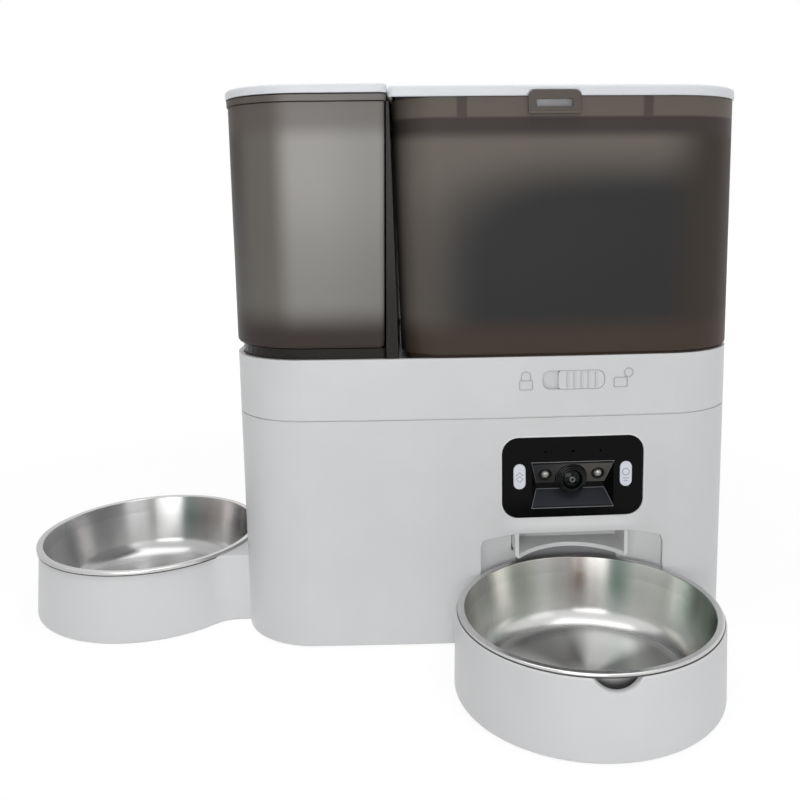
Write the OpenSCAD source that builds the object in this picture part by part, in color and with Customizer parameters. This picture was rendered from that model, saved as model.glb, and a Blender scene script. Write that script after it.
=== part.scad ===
// Automatic pet feeder with camera and gravity waterer, in millimetres.
// Front faces -Y, +Z is up, the origin is under the middle of the bounding box, on the floor.

/* [Housing] */
// Width of the housing
body_w = 296; // [276:1:320]
// Depth of the housing
body_d = 170; // [160:1:190]
// Radius of the upright corners
corner_r = 46; // [38:1:54]
// Radius of the gently bulged front
front_r = 2400; // [1500:50:4000]
// Wall of the white shells
wall = 3; // [2.6:0.1:3.6]
// Height of the seam between base and collar
base_h = 136.4; // [134:0.2:146]
// Height of the collar
collar_h = 34.8; // [33:0.2:40]
// Ground clearance of the housing
foot_h = 1; // [0.6:0.2:2]

/* [Containers] */
// Height from the collar to the hopper rim
hopper_h = 143.1; // [120:1:170]
// Height of the lids
lid_h = 5.9; // [5:0.1:8]
// How far the gap between tank and hopper lies left of the middle
split_x = 54.6; // [48:0.2:60]
// Wall of the smoked containers
bin_wall = 2.4; // [2:0.1:3]
// Upright corner radius of the hopper beside the gap
hopper_r = 27; // [20:1:32]
// Height at which the hopper floor starts to fall to its throat, above the collar
funnel_h = 52; // [44:1:70]

/* [Bowls] */
// Rim radius of both steel bowls
bowl_r = 70; // [66:0.5:72]
// Height of the bowl rims
bowl_rim_z = 44.5; // [42:0.1:46]
// Wall between bowl rim and outside of the holders
holder_lip = 2; // [1.6:0.1:3]
// Sheet of the steel bowls
steel = 0.9; // [0.7:0.1:1.2]
// How far the food bowl stands in front of the housing
food_reach = 46.5; // [44:0.5:52]
// Gap between water bowl rim and housing
water_gap = 1; // [1:0.2:4]

/* [Feed side] */
// Food axis right of the middle
food_x = 47.7; // [42:0.1:54]
// Radius of the portioning rotor chamber
chamber_r = 43.5; // [42:0.5:45]
// Number of rotor vanes
vanes = 6; // [4:1:8]
// Teeth of the rotor gear
gear_teeth = 36; // [36:12:36]
// Teeth of the motor pinion
pinion_teeth = 12; // [12:12:12]
// Gear module
gear_m = 0.8; // [0.8:0.01:0.82]

/* [Camera panel] */
// Width of the black panel
panel_w = 82.2; // [80:0.1:88]
// Height of the black panel
panel_h = 47.6; // [46:0.1:52]
// How far the panel centre lies below the seam
panel_drop = 36; // [35:0.1:38]
// Width of a pill button
key_w = 6.9; // [6:0.1:8]
// Height of a pill button
key_h = 14.8; // [14:0.1:18]
// Travel of a pill button
key_travel = 1; // [0.6:0.1:1.1]

/* [Lock] */
// Width of the lock slot
slot_w = 35.7; // [34:0.1:38]
// Height of the lock slot
slot_h = 11; // [10:0.1:12]
// Width of the ribbed slider
slider_w = 26.4; // [24:0.1:28]

/* [Hidden] */
$fn = 72;
half_w = body_w / 2;
half_d = body_d / 2;
collar_top = base_h + collar_h;
deck_z = collar_top - 3.2;
deck_t = 3;
rim_z = collar_top + hopper_h;
corner_y = front_r - half_d - sqrt(pow(front_r - corner_r, 2) - pow(half_w - corner_r, 2)) - 0.05;
corner_a = asin((half_w - corner_r) / (front_r - corner_r));
holder_r = bowl_r + holder_lip;
holder_top = bowl_rim_z - 1.9;
pocket_r = bowl_r - 2.5;
food_y = -half_d - food_reach;
water_x = -half_w - water_gap - bowl_r;
niche_r = holder_r + 3;
// Each side of the niche's upper opening stands in by this much from the tray's side at the housing's face
niche_side = 1.37;
niche_w = round(20 * (sqrt(pow(holder_r, 2) - pow(food_reach, 2)) - niche_side)) / 10;
panel_z = base_h - panel_drop;
niche_top = panel_z - panel_h / 2 - 7.4;
niche_t = 2.5;
niche_back = food_y + niche_r;
rotor_y = -food_reach + 62.5;
gear_pitch = gear_m * gear_teeth / 2;
pinion_y = rotor_y + gear_m * (gear_teeth + pinion_teeth) / 2;
chamber_z = base_h + 1.6;
floor_t = 2.5;
shaft_r = 3;
tank_x = -(half_w + split_x) / 2;
tank_z = collar_top + 6.3;
tank_rim = rim_z + 2.4;
seat_top = tank_z - 0.5;
pipe_z = 24;
lock_z = base_h + 21;
lock_travel = slot_w - slider_w - 2.3;
latch_x = food_x - 12;
latch_w = 28.6;
latch_top = rim_z + 3;
latch_foot = rim_z - 7.7;
hinge_y = half_d + 4.4;
knuckle_r = 3.2;
lid_over = 0.8;
lid_z = rim_z + 0.2;
lid_top = lid_z + lid_h;
boss_in = 7;
boss_at = [
  [-100, half_d - boss_in],
  [0, half_d - boss_in],
  [100, half_d - boss_in],
  [-100, front_y(-100) + boss_in],
  [-30, front_y(-30) + boss_in],
  [half_w - boss_in, 15]
];
holder_fix = 31;
holder_slim = 2.4;
tongue_w = 40;
tongue_z = 5;
tongue_t = 6;
feet_at = [[-112, 58], [112, 58], [-112, -52], [118, -34]];
hinge_at = [food_x - 48, food_x + 48];
shift_x = -(water_x - holder_r + half_w + lid_over) / 2;
shift_y = -(food_y - holder_r + hinge_y + knuckle_r) / 2;

// Front face of the housing at a distance x from the middle
function front_y(x) = front_r - half_d - sqrt(front_r * front_r - x * x);

// Left wall of the hopper and right wall of the tank lean away from each other going down
function hopper_left(z) = -split_x + 4.8 - 3.4 * (z - collar_top) / hopper_h;
function tank_right(z) = split_x + 4.5 - 3 * (z - tank_z) / (tank_rim - tank_z);

// Arc points, angle 0 towards the front, 90 to the right
function arc_pts(cx, cy, r, a0, a1, n, skip = 0) = [
  for (i = [skip:n]) let (t = a0 + (a1 - a0) * i / n) [cx + r * sin(t), cy - r * cos(t)]
];

// Points between a and b, cutting the way into n equal steps
function between(a, b, n) = n < 2 ? [] : [for (i = [1:n - 1]) a + (b - a) * i / n];

// Outline of a container that fills the housing plan to the right of xl, set in by d,
// with its straight runs cut into steps of n, 2n and n
function bin_pts(xl, d, rc, n = 1) =
  let (q = max(rc, d + 0.5))
  let (qy = front_r - half_d - sqrt(pow(front_r - q, 2) - pow(xl + q, 2)))
  let (qa = asin((xl + q) / (front_r - q)))
  let (right = half_w - d, rear = half_d - d, left = xl + d)
  concat(
    arc_pts(0, front_r - half_d, front_r - d, qa, corner_a, 12),
    arc_pts(half_w - corner_r, corner_y, corner_r - d, corner_a, 90, 12, 1),
    between([right, corner_y], [right, half_d - corner_r], n),
    arc_pts(half_w - corner_r, half_d - corner_r, corner_r - d, 90, 180, 12),
    between([half_w - corner_r, rear], [xl + q, rear], 2 * n - 1),
    arc_pts(xl + q, half_d - q, q - d, 180, 270, 8),
    between([left, half_d - q], [left, qy], n),
    [for (p = arc_pts(xl + q, qy, q - d, 270, 360 + qa, 8)) if (p[0] < xl + q + (q - d) * sin(qa) - 0.001) p]
  );

// The same points pulled onto a circle, for funnels
function round_pts(pts, c, r) = [
  for (p = pts) let (a = atan2(p[1] - c[1], p[0] - c[0])) [c[0] + r * cos(a), c[1] + r * sin(a)]
];

// Solid through a stack of outlines with equal point counts
module loft(rings) {
  n = len(rings[0][0]);
  m = len(rings);
  pts = [for (r = rings) for (p = r[0]) [p[0], p[1], r[1]]];
  low = [for (k = [0:m - 2]) for (i = [0:n - 1])
    [k * n + i, (k + 1) * n + i, (k + 1) * n + (i + 1) % n]];
  high = [for (k = [0:m - 2]) for (i = [0:n - 1])
    [k * n + i, (k + 1) * n + (i + 1) % n, k * n + (i + 1) % n]];
  caps = [[for (i = [0:n - 1]) i], [for (i = [n - 1:-1:0]) (m - 1) * n + i]];
  polyhedron(pts, concat(caps, low, high));
}

module bin_band(xl, rc, d0, d1, z0, z1) {
  translate([0, 0, z0])
    linear_extrude(z1 - z0)
      difference() {
        polygon(bin_pts(xl, d0, rc));
        polygon(bin_pts(xl, d1, rc));
      }
}

// Plan of the housing, set in by d; the bulged front trims the corner rounds at a small angle
module housing_plan(d) {
  intersection() {
    translate([0, front_r - half_d]) circle(front_r - d, $fn = 600);
    union() {
      translate([-(half_w - corner_r), -half_d - 9]) square([2 * (half_w - corner_r), 2 * half_d + 9 - d]);
      translate([-(half_w - d), corner_y]) square([2 * (half_w - d), half_d - corner_r - corner_y]);
      for (s = [-1, 1]) {
        translate([s * (half_w - corner_r), corner_y]) circle(corner_r - d);
        translate([s * (half_w - corner_r), half_d - corner_r]) circle(corner_r - d);
      }
    }
  }
}

module band(z0, z1, d) {
  translate([0, 0, z0]) linear_extrude(z1 - z0) housing_plan(d);
}

module ring_band(z0, z1, d0, d1) {
  difference() {
    band(z0, z1, d0);
    band(z0 - 1, z1 + 1, d1);
  }
}

module placed() {
  translate([shift_x, shift_y, 0]) children();
}

// Local frame on the front face: x along the face, y into the housing
module face_frame(x) {
  translate([x, front_y(x), 0]) rotate([0, 0, asin(x / front_r)]) children();
}

module along_y(y0, y1) {
  translate([0, y1, 0]) rotate([90, 0, 0]) linear_extrude(y1 - y0) children();
}

module along_x(x0, x1) {
  translate([x0, 0, 0]) rotate([90, 0, 90]) linear_extrude(x1 - x0) children();
}

module rod_y(r, y0, y1) {
  translate([0, y0, 0]) rotate([-90, 0, 0]) cylinder(r = r, h = y1 - y0);
}

module rod_x(r, x0, x1) {
  translate([x0, 0, 0]) rotate([0, 90, 0]) cylinder(r = r, h = x1 - x0);
}

module rod_z(r, z0, z1) {
  translate([0, 0, z0]) cylinder(r = r, h = z1 - z0);
}

module tube_z(r, bore, z0, z1) {
  difference() {
    rod_z(r, z0, z1);
    rod_z(bore, z0 - 1, z1 + 1);
  }
}

module block(x0, x1, y0, y1, z0, z1) {
  translate([x0, y0, z0]) cube([x1 - x0, y1 - y0, z1 - z0]);
}

module rounded(w, h, r) {
  square([w - 2 * r, h], center = true);
  square([w, h - 2 * r], center = true);
  for (sx = [-1, 1]) for (sy = [-1, 1]) translate([sx * (w / 2 - r), sy * (h / 2 - r)]) circle(r);
}

module pill(w, h) {
  r = min(w, h) / 2;
  square([w > h ? w - 2 * r : w, w > h ? h : h - 2 * r], center = true);
  for (s = [-1, 1]) translate([w > h ? s * (w / 2 - r) : 0, w > h ? 0 : s * (h / 2 - r)]) circle(r);
}

// Upright opening of the bowl niche, grown by g
module niche_face(g) {
  arch = 242 + g;
  intersection() {
    translate([0, niche_top - arch + g]) circle(arch, $fn = 200);
    translate([0, (niche_top - 2 + g - 60) / 2]) rounded(niche_w + 2 * g, niche_top - 2 + g + 60, 9 + g);
  }
  translate([-niche_w / 2 - 2.9 - g, -2]) square([niche_w + 5.8 + 2 * g, 46.6 + g]);
}

module niche(g) {
  intersection() {
    translate([food_x, food_y, -1]) cylinder(r = niche_r + g, h = 90, $fn = 144);
    translate([food_x, 0, 0]) along_y(food_y - niche_r, niche_back + 10) niche_face(g);
  }
}

// Steel bowl as a solid of revolution
module bowl_shape(hole = false) {
  w = bowl_r - 5.5;
  slope = 0.16;
  floor_z = 8;
  turn = 10;
  low_r = w - slope * (bowl_rim_z - floor_z - turn);
  inner = concat(
    [[0, floor_z]],
    [for (i = [0:6]) let (t = 15 * i) [low_r - turn + turn * sin(t), floor_z + turn - turn * cos(t)]],
    [[w - 0.4, bowl_rim_z - 2], [w, bowl_rim_z - 0.9], [w + 1, bowl_rim_z - 0.2], [w + 2, bowl_rim_z]]
  );
  lip = [[bowl_r - 1, bowl_rim_z], [bowl_r - 0.3, bowl_rim_z - 0.3], [bowl_r, bowl_rim_z - 1],
    [bowl_r, holder_top], [bowl_r - steel, holder_top], [bowl_r - steel, bowl_rim_z - 1]];
  outer = concat(
    [[w + 2, bowl_rim_z - steel], [w + 1, bowl_rim_z - steel - 0.6]],
    [[w - 0.4 + steel, bowl_rim_z - 2.4]],
    [for (i = [6:-1:0]) let (t = 15 * i)
      [low_r - turn + (turn + steel) * sin(t), floor_z + turn - (turn + steel) * cos(t)]],
    [[0, floor_z - steel]]
  );
  rotate_extrude($fn = 144) polygon(concat(inner, lip, outer));
}

// Involute gear outline with one tooth centred on +X
function flank(rb, r) = let (a = acos(min(1, rb / r))) tan(a) * 180 / PI - a;

function gear_pts(n, tip, root, slack) =
  let (pr = n * gear_m / 2, rb = pr * cos(20), r0 = max(rb, pr - root), r1 = pr + tip)
  let (h0 = 90 / n + flank(rb, pr) - slack)
  [for (k = [0:n - 1]) each concat(
    [let (a = 360 * k / n - h0) (pr - root) * [cos(a), sin(a)]],
    [for (i = [0:4])
      let (r = r0 + (r1 - r0) * i / 4, a = 360 * k / n - h0 + flank(rb, r)) r * [cos(a), sin(a)]],
    [for (i = [4:-1:0])
      let (r = r0 + (r1 - r0) * i / 4, a = 360 * k / n + h0 - flank(rb, r)) r * [cos(a), sin(a)]],
    [let (a = 360 * k / n + h0) (pr - root) * [cos(a), sin(a)]]
  )];

// Round wire wound round the Z axis
module coil(r, wire, z0, z1, turns) {
  steps = 8 * turns;
  sides = 6;
  lead = atan2((z1 - z0 - 2 * wire) / turns, 2 * PI * r);
  pts = [for (i = [0:steps]) for (j = [0:sides - 1])
    let (a = 360 * turns * i / steps, b = 360 * j / sides, h = z0 + wire + (z1 - z0 - 2 * wire) * i / steps)
    let (o = wire * cos(b), u = wire * sin(b))
    [(r + o) * cos(a) + u * sin(lead) * sin(a), (r + o) * sin(a) - u * sin(lead) * cos(a),
      h + u * cos(lead)]];
  low = [for (i = [0:steps - 1]) for (j = [0:sides - 1])
    [i * sides + j, (i + 1) * sides + j, (i + 1) * sides + (j + 1) % sides]];
  high = [for (i = [0:steps - 1]) for (j = [0:sides - 1])
    [i * sides + j, (i + 1) * sides + (j + 1) % sides, i * sides + (j + 1) % sides]];
  caps = [[for (j = [0:sides - 1]) j], [for (j = [sides - 1:-1:0]) steps * sides + j]];
  polyhedron(pts, concat(caps, low, high));
}

module base_housing() {
  color("whitesmoke")
    difference() {
      union() {
        ring_band(foot_h, base_h, 0, wall);
        for (p = boss_at) translate([p[0], p[1], 0]) {
          rod_z(5, foot_h + 2.4, 26);
          rod_z(5, base_h - 16.4, base_h - 4.4);
        }
      }
      niche(0);
      ring_band(base_h - 0.6, base_h + 1, -1, 0.8);
      face_frame(food_x) along_y(-4, 8) translate([0, panel_z]) rounded(panel_w + 0.2, panel_h + 0.2, 9.6);
      for (p = boss_at) translate([p[0], p[1], 0]) {
        rod_z(1.5, 0, 20);
        rod_z(1.9, base_h - 20, base_h);
      }
      translate([0, 0, pipe_z]) rod_x(8.2, -half_w - 5, -half_w + 10);
      for (s = [-1, 1]) translate([0, holder_fix * s, 20]) rod_x(1.7, -half_w - 5, -half_w + 10);
      translate([-70, 0, 18.6]) rod_y(5.2, half_d - 10, half_d + 1);
    }
}

// Curved inner wall and roof of the niche, with the tray's socket and the window of the chute
module bowl_niche() {
  color("whitesmoke")
    difference() {
      intersection() {
        niche(niche_t);
        band(foot_h, base_h, wall + 0.05);
      }
      niche(0);
      translate([food_x, 0, 0]) {
        block(-tongue_w / 2 - 0.3, tongue_w / 2 + 0.3, niche_back - 4, niche_back + 9,
          tongue_z, tongue_z + tongue_t + 0.3);
        block(-33.5, 33.5, niche_back - 9, niche_back + 10, 48.6, niche_top + 6.2);
      }
    }
}

module base_plate() {
  color("gainsboro")
    difference() {
      union() {
        band(foot_h, foot_h + 2.4, wall + 0.1);
        for (x = [-130, -50]) for (y = [23, 63]) translate([x, y, 0]) rod_z(3, foot_h + 1, 11);
      }
      translate([food_x, food_y, -1]) cylinder(r = niche_r + niche_t + 0.1, h = 20, $fn = 144);
      for (p = boss_at) translate([p[0], p[1], 0]) {
        rod_z(1.9, 0, 10);
        rod_z(3.5, 0, foot_h + 1.6);
      }
      for (p = feet_at) translate([p[0], p[1], 0]) rod_z(9, 0, foot_h + 1);
      translate([-40, -40, 0]) {
        rod_z(1.6, 0, 10);
        for (a = [0:60:300]) rotate(a) translate([8, 0, 0]) rod_z(1.6, 0, 10);
      }
    }
}

module rubber_feet() {
  color("dimgray") for (p = feet_at) translate([p[0], p[1], 0]) rod_z(9, 0, foot_h + 1);
}

module plate_screws() {
  color("silver")
    for (p = boss_at) translate([p[0], p[1], 0]) {
      rod_z(3.2, foot_h + 0.1, foot_h + 1.6);
      rod_z(1.4, foot_h + 1, 16);
    }
}

module collar_housing() {
  color("whitesmoke")
    difference() {
      union() {
        ring_band(base_h, collar_top, 0, wall);
        band(deck_z - deck_t, deck_z, wall - 0.5);
        ring_band(base_h, base_h + 3, wall - 0.5, wall + 2.2);
        ring_band(base_h - 4, base_h + 0.5, wall + 0.2, wall + 2.2);
        intersection() {
          for (p = boss_at) translate([p[0], p[1], 0]) rod_z(5, base_h - 4.4, base_h + 14);
          band(base_h - 6, base_h + 16, wall + 0.2);
        }
      }
      translate([food_x, rotor_y, 0]) rod_z(chamber_r + 2.9, deck_z - 9, deck_z + 9);
      translate([tank_x, 0, 0]) rod_z(28.8, deck_z - 9, deck_z + 9);
      face_frame(food_x) {
        along_y(-4, 8) translate([0, lock_z]) rounded(slot_w, slot_h, 4.5);
        block(-27, -18.6, 7, 18.8, deck_z - 9, deck_z + 9);
      }
      for (p = boss_at) translate([p[0], p[1], 0]) rod_z(1.5, base_h - 9, base_h + 11);
    }
}

module collar_screws() {
  color("silver")
    for (p = boss_at) translate([p[0], p[1], 0]) {
      rod_z(3.2, base_h - 18.6, base_h - 16.4);
      rod_z(1.4, base_h - 18, base_h + 9);
    }
}

module tank_seat() {
  w0 = split_x + 3.4;
  color([0.2, 0.17, 0.15])
    difference() {
      union() {
        mirror([1, 0, 0])
          translate([0, 0, deck_z])
            linear_extrude(seat_top - deck_z)
              polygon(bin_pts(w0 - 3.2, 3.2, 6));
        along_y_wedge(w0);
        translate([tank_x, 0, 0]) rod_z(30, deck_z + 1, tank_z);
      }
      difference() {
        mirror([1, 0, 0])
          translate([0, 0, deck_z - 1])
            linear_extrude(seat_top - deck_z - 1.2)
              polygon(bin_pts(w0 - 3.2, 5.4, 8.2));
        translate([tank_x, 0, 0]) rod_z(33.4, deck_z - 2, seat_top);
      }
      along_y(front_y(split_x) + 3.4, half_d - 6)
        polygon([[-w0 + 2.2, deck_z - 1], [-split_x + 1.6, deck_z - 1], [-split_x + 1.6, seat_top],
          [-split_x - 0.3, rim_z - 55], [-split_x - 0.6, rim_z - 55], [-w0 + 2.2, seat_top]]);
      ring_band(deck_z - 1, collar_top + 0.2, -1, wall + 0.1);
      translate([tank_x, 0, 0]) {
        rod_z(24.5, deck_z - 1, tank_z + 1);
        rod_z(31.4, deck_z - 1, deck_z + 1.7);
      }
    }
}

// Divider between tank and hopper, thinner towards its top
module along_y_wedge(w0) {
  top = rim_z - 2;
  along_y(front_y(split_x) + 1.6, half_d - 4)
    polygon([[-w0, deck_z], [-split_x + 3.2, deck_z], [-split_x + 3.2, seat_top], [-split_x + 0.7, top],
      [-split_x - 0.8, top], [-w0, seat_top]]);
}

module hopper() {
  z0 = collar_top + 1.4;
  color([0.3, 0.27, 0.24])
    difference() {
      union() {
        difference() {
          loft([[bin_pts(hopper_left(z0), 0, hopper_r), z0],
            [bin_pts(hopper_left(rim_z), 0, hopper_r), rim_z]]);
          loft([[bin_pts(hopper_left(z0 - 1), bin_wall, hopper_r), z0 - 1],
            [bin_pts(hopper_left(rim_z + 1), bin_wall, hopper_r), rim_z + 1]]);
        }
        bin_band(hopper_left(z0), hopper_r, bin_wall - 0.8, wall + 2.8, z0, z0 + 3);
        bin_band(hopper_left(z0), hopper_r, wall + 0.4, wall + 2.8, deck_z, z0 + 1);
        face_frame(food_x) {
          block(-25.7, -19.7, 4.6, 18, deck_z + 0.4, collar_top + 4.4);
          block(-25.7, -19.7, 8, 18, lock_z - 7, collar_top + 4.4);
        }
        for (x = hinge_at) translate([x, 0, 0]) {
          block(-5, 5, half_d - 1, hinge_y, rim_z - 9, rim_z);
          translate([0, hinge_y, rim_z]) rod_x(knuckle_r, -5, 5);
        }
        face_frame(latch_x)
          block(-latch_w / 2, latch_w / 2, -2.2, 0.6, latch_foot - 1.7, latch_foot - 0.4);
      }
      face_frame(food_x) translate([0, 13, lock_z]) rod_x(3.4, -30, -15);
      for (x = hinge_at) translate([x, hinge_y, rim_z]) rod_x(1.5, -8, 8);
      face_frame(latch_x) {
        block(-12, 12, -1, 4.5, rim_z - 6.4, rim_z + 1);
        translate([0, -1.2, latch_foot]) rod_x(1.06, -latch_w / 2 - 1, latch_w / 2 + 1);
      }
    }
}

// Sloping food floor and throat, welded into the hopper
module hopper_funnel() {
  zf = collar_top + funnel_h;
  throat = chamber_r - 1.5;
  c = [food_x, rotor_y];
  outer0 = bin_pts(hopper_left(zf), bin_wall + 0.1, hopper_r, 6);
  inner0 = bin_pts(hopper_left(zf), bin_wall + 1.9, hopper_r, 6);
  color([0.3, 0.27, 0.24])
    difference() {
      union() {
        loft([[round_pts(outer0, c, throat + 4), collar_top + 2.8], [outer0, zf]]);
        translate([c[0], c[1], 0]) rod_z(throat + 2.4, deck_z + 1.6, collar_top + 4);
      }
      loft([[round_pts(inner0, c, throat + 1.2), collar_top + 5.4], [inner0, zf + 0.01]]);
      translate([c[0], c[1], 0]) rod_z(throat, deck_z, collar_top + 6);
    }
}

module hinge_pins() {
  color("silver") for (x = hinge_at) translate([x, hinge_y, rim_z]) rod_x(1.5, -14, 14);
}

module lid_latch() {
  color([0.3, 0.27, 0.24])
    face_frame(latch_x) {
      along_y(-2.2, -0.15)
        difference() {
          union() {
            translate([0, (latch_top + latch_foot) / 2]) rounded(latch_w, latch_top - latch_foot, 3.2);
            translate([-latch_w / 2, latch_foot]) square([latch_w, 5]);
          }
          translate([0, rim_z - 3.6]) rounded(20, 4.2, 0.6);
        }
      translate([0, -1.2, latch_foot]) rod_x(1, -latch_w / 2 + 0.2, latch_w / 2 - 0.2);
    }
}

module hopper_lid() {
  xl = -split_x + 1;
  color("white")
    difference() {
      union() {
        difference() {
          translate([0, 0, lid_z]) linear_extrude(lid_h) polygon(bin_pts(xl, -lid_over, 3));
          translate([0, 0, lid_z - 1]) linear_extrude(lid_h - 1.2) polygon(bin_pts(xl, 1.4, 3));
        }
        bin_band(hopper_left(rim_z), hopper_r, 4.6, 6.2, rim_z - 10.8, lid_top - 2);
        face_frame(latch_x) block(-10.5, 10.5, 0.3, 1.5, rim_z - 5.8, lid_top - 2);
        for (x = hinge_at) for (s = [-1, 1]) translate([x + 10 * s, 0, 0]) {
          block(-4, 4, half_d - 1, hinge_y, lid_z, lid_top - 0.6);
          translate([0, hinge_y, rim_z]) rod_x(knuckle_r, -4, 4);
        }
      }
      face_frame(latch_x)
        block(-latch_w / 2 - 0.6, latch_w / 2 + 0.6, -5, 0.3, lid_z - 9, latch_top + 0.5);
      for (x = hinge_at) translate([x, hinge_y, rim_z]) rod_x(1.55, -16, 16);
      for (x = [food_x - 62, food_x + 40])
        block(x - 1.5, x + 1.5, -half_d, -half_d + 16, rim_z - 12, rim_z - 1);
    }
}

module lid_seal() {
  color("gray") bin_band(hopper_left(rim_z), hopper_r, 1.7, 4.4, rim_z, lid_top - 2.2);
}

module desiccant_box() {
  color("gainsboro")
    difference() {
      block(food_x - 24, food_x + 24, -12, 28, rim_z - 8, lid_top - 2.2);
      block(food_x - 22, food_x + 22, -10, 26, rim_z - 9, lid_top - 3.8);
    }
}

module desiccant_grille() {
  color("silver")
    difference() {
      block(food_x - 24, food_x + 24, -12, 28, rim_z - 9.8, rim_z - 8);
      for (i = [-4:4]) block(food_x + 4.6 * i - 1.2, food_x + 4.6 * i + 1.2, -6, 22, rim_z - 11, rim_z - 7);
    }
}

module water_tank() {
  rc = 3.5;
  color([0.4, 0.37, 0.33])
    difference() {
      union() {
        mirror([1, 0, 0]) {
          loft([[bin_pts(tank_right(tank_z), 0, rc), tank_z],
            [bin_pts(tank_right(tank_rim), 0, rc), tank_rim]]);
          translate([0, 0, tank_rim - 3.9])
            linear_extrude(3.9) polygon(bin_pts(tank_right(tank_rim), -0.7, rc));
        }
        translate([tank_x, 0, 0]) rod_z(19, tank_z - 23, tank_z + 1);
      }
      mirror([1, 0, 0])
        loft([[bin_pts(tank_right(tank_z + 2.4), bin_wall, rc), tank_z + 2.4],
          [bin_pts(tank_right(tank_rim + 1), bin_wall, rc), tank_rim + 1]]);
      translate([tank_x, 0, 0])
        difference() {
          rod_z(16.5, tank_z - 24, tank_z + 4);
          difference() {
            block(-20, 20, -4.5, 4.5, tank_z - 5.5, tank_z - 2.5);
            rod_z(2.7, tank_z - 9, tank_z);
          }
        }
    }
}

module tank_lid() {
  xl = tank_right(tank_rim);
  color("white")
    mirror([1, 0, 0])
      union() {
        difference() {
          translate([0, 0, tank_rim + 0.2]) linear_extrude(lid_h - 1) polygon(bin_pts(xl, -1.2, 3.5));
          translate([0, 0, tank_rim - 1]) linear_extrude(lid_h - 2) polygon(bin_pts(xl, 1, 3.5));
        }
        bin_band(xl, 3.5, 3.2, 4.8, tank_rim - 8, tank_rim + lid_h - 2);
      }
}

module tank_lid_seal() {
  color("gray")
    mirror([1, 0, 0])
      bin_band(tank_right(tank_rim), 3.5, 1.1, 2.3, tank_rim, tank_rim + lid_h - 3);
}

module tank_cap() {
  color("gainsboro")
    translate([tank_x, 0, 0])
      difference() {
        rod_z(22.4, tank_z - 27.5, tank_z - 11.5);
        rod_z(19.15, tank_z - 25, tank_z - 10);
        rod_z(6, tank_z - 29, tank_z - 20);
      }
}

module cap_gasket() {
  color("gray") translate([tank_x, 0, 0]) tube_z(19, 16.5, tank_z - 25, tank_z - 23);
}

module valve_stem() {
  color("white")
    translate([tank_x, 0, 0]) {
      rod_z(2.5, tank_z - 30.4, tank_z + 1.5);
      rod_z(9, tank_z - 24.6, tank_z - 22.4);
    }
}

module valve_spring() {
  color("silver") translate([tank_x, 0, 0]) coil(5, 0.6, tank_z - 22.3, tank_z - 5.6, 6);
}

module water_receiver() {
  low = base_h + 4.6;
  color("gainsboro")
    translate([tank_x, 0, 0]) {
      difference() {
        union() {
          rod_z(28.5, low, deck_z + 1);
          rod_z(31, deck_z, deck_z + 1.6);
          rod_z(8, low - 11, low + 1);
        }
        rod_z(26.5, low + 2, deck_z + 2);
        rod_z(6, low - 12, low + 3);
      }
      block(-7, 7, -1, 1, low, low + 2);
      rod_z(2.6, low, tank_z - 30.8);
    }
}

module receiver_seal() {
  color("gray") translate([tank_x, 0, 0]) tube_z(26.5, 22.8, tank_z - 19, tank_z - 16);
}

module water_pipe() {
  low = base_h + 4.6;
  end = water_x + pocket_r + 0.6;
  color("gainsboro")
    difference() {
      union() {
        translate([tank_x, 0, 0]) rod_z(10, pipe_z, low);
        translate([tank_x, 0, pipe_z]) sphere(r = 10);
        translate([0, 0, pipe_z]) rod_x(8, end, tank_x);
      }
      translate([tank_x, 0, 0]) {
        rod_z(8.05, low - 11, low + 1);
        rod_z(6, pipe_z, low);
      }
      translate([tank_x, 0, pipe_z]) sphere(r = 6);
      translate([0, 0, pipe_z]) rod_x(6, end - 1, tank_x);
    }
}

module outlet_seal() {
  end = water_x + pocket_r + 0.6;
  color("gray")
    difference() {
      translate([0, 0, pipe_z]) rod_x(8, water_x + 50, end);
      translate([0, 0, pipe_z]) rod_x(5, water_x + 40, end + 1);
      translate([water_x, 0, 0])
        cylinder(r1 = bowl_r - 5.5 + steel + 0.4 - 0.16 * bowl_rim_z, r2 = bowl_r - 5.5 + steel + 0.4,
          h = bowl_rim_z, $fn = 144);
    }
}

module water_bowl_holder() {
  neck = 45;
  f = 18;
  top_r = holder_r - holder_slim;
  fx = sqrt(pow(top_r - 0.8 + f, 2) - pow(neck + f, 2));
  lean = atan2(neck + f, fx);
  inside = (top_r - 2.3) * [cos(lean), sin(lean)];
  fillet = concat(
    [inside - [4, 8], inside],
    [for (i = [1:6]) let (t = 180 + lean + (90 - lean) * i / 6) [fx, neck + f] + f * [cos(t), sin(t)]],
    [[fx, neck - 6]]
  );
  color("whitesmoke")
    difference() {
      union() {
        translate([water_x, 0, 0]) cylinder(r1 = holder_r, r2 = top_r, h = holder_top, $fn = 144);
        linear_extrude(holder_top) {
          translate([water_x, -neck]) square([-water_x - half_w + 8, 2 * neck]);
          for (s = [0, 1]) translate([water_x, 0]) mirror([0, s]) polygon(fillet);
        }
      }
      band(-1, holder_top + 1, -0.03);
      translate([water_x, 0, 0]) cylinder(r = pocket_r, h = 100, $fn = 144);
      translate([0, 0, pipe_z]) rod_x(8.3, water_x + 40, -half_w + 10);
      for (s = [-1, 1]) translate([0, holder_fix * s, 20]) rod_x(1.5, -half_w - 11, -half_w + 10);
    }
  color("whitesmoke") translate([water_x, 0, 0]) cylinder(r = pocket_r + 1, h = 2.5, $fn = 144);
}

module holder_screws() {
  color("silver")
    for (s = [-1, 1]) translate([0, holder_fix * s, 20]) {
      rod_x(3.2, -half_w + wall, -half_w + wall + 2);
      rod_x(1.4, -half_w - 9, -half_w + wall + 1);
    }
}

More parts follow.
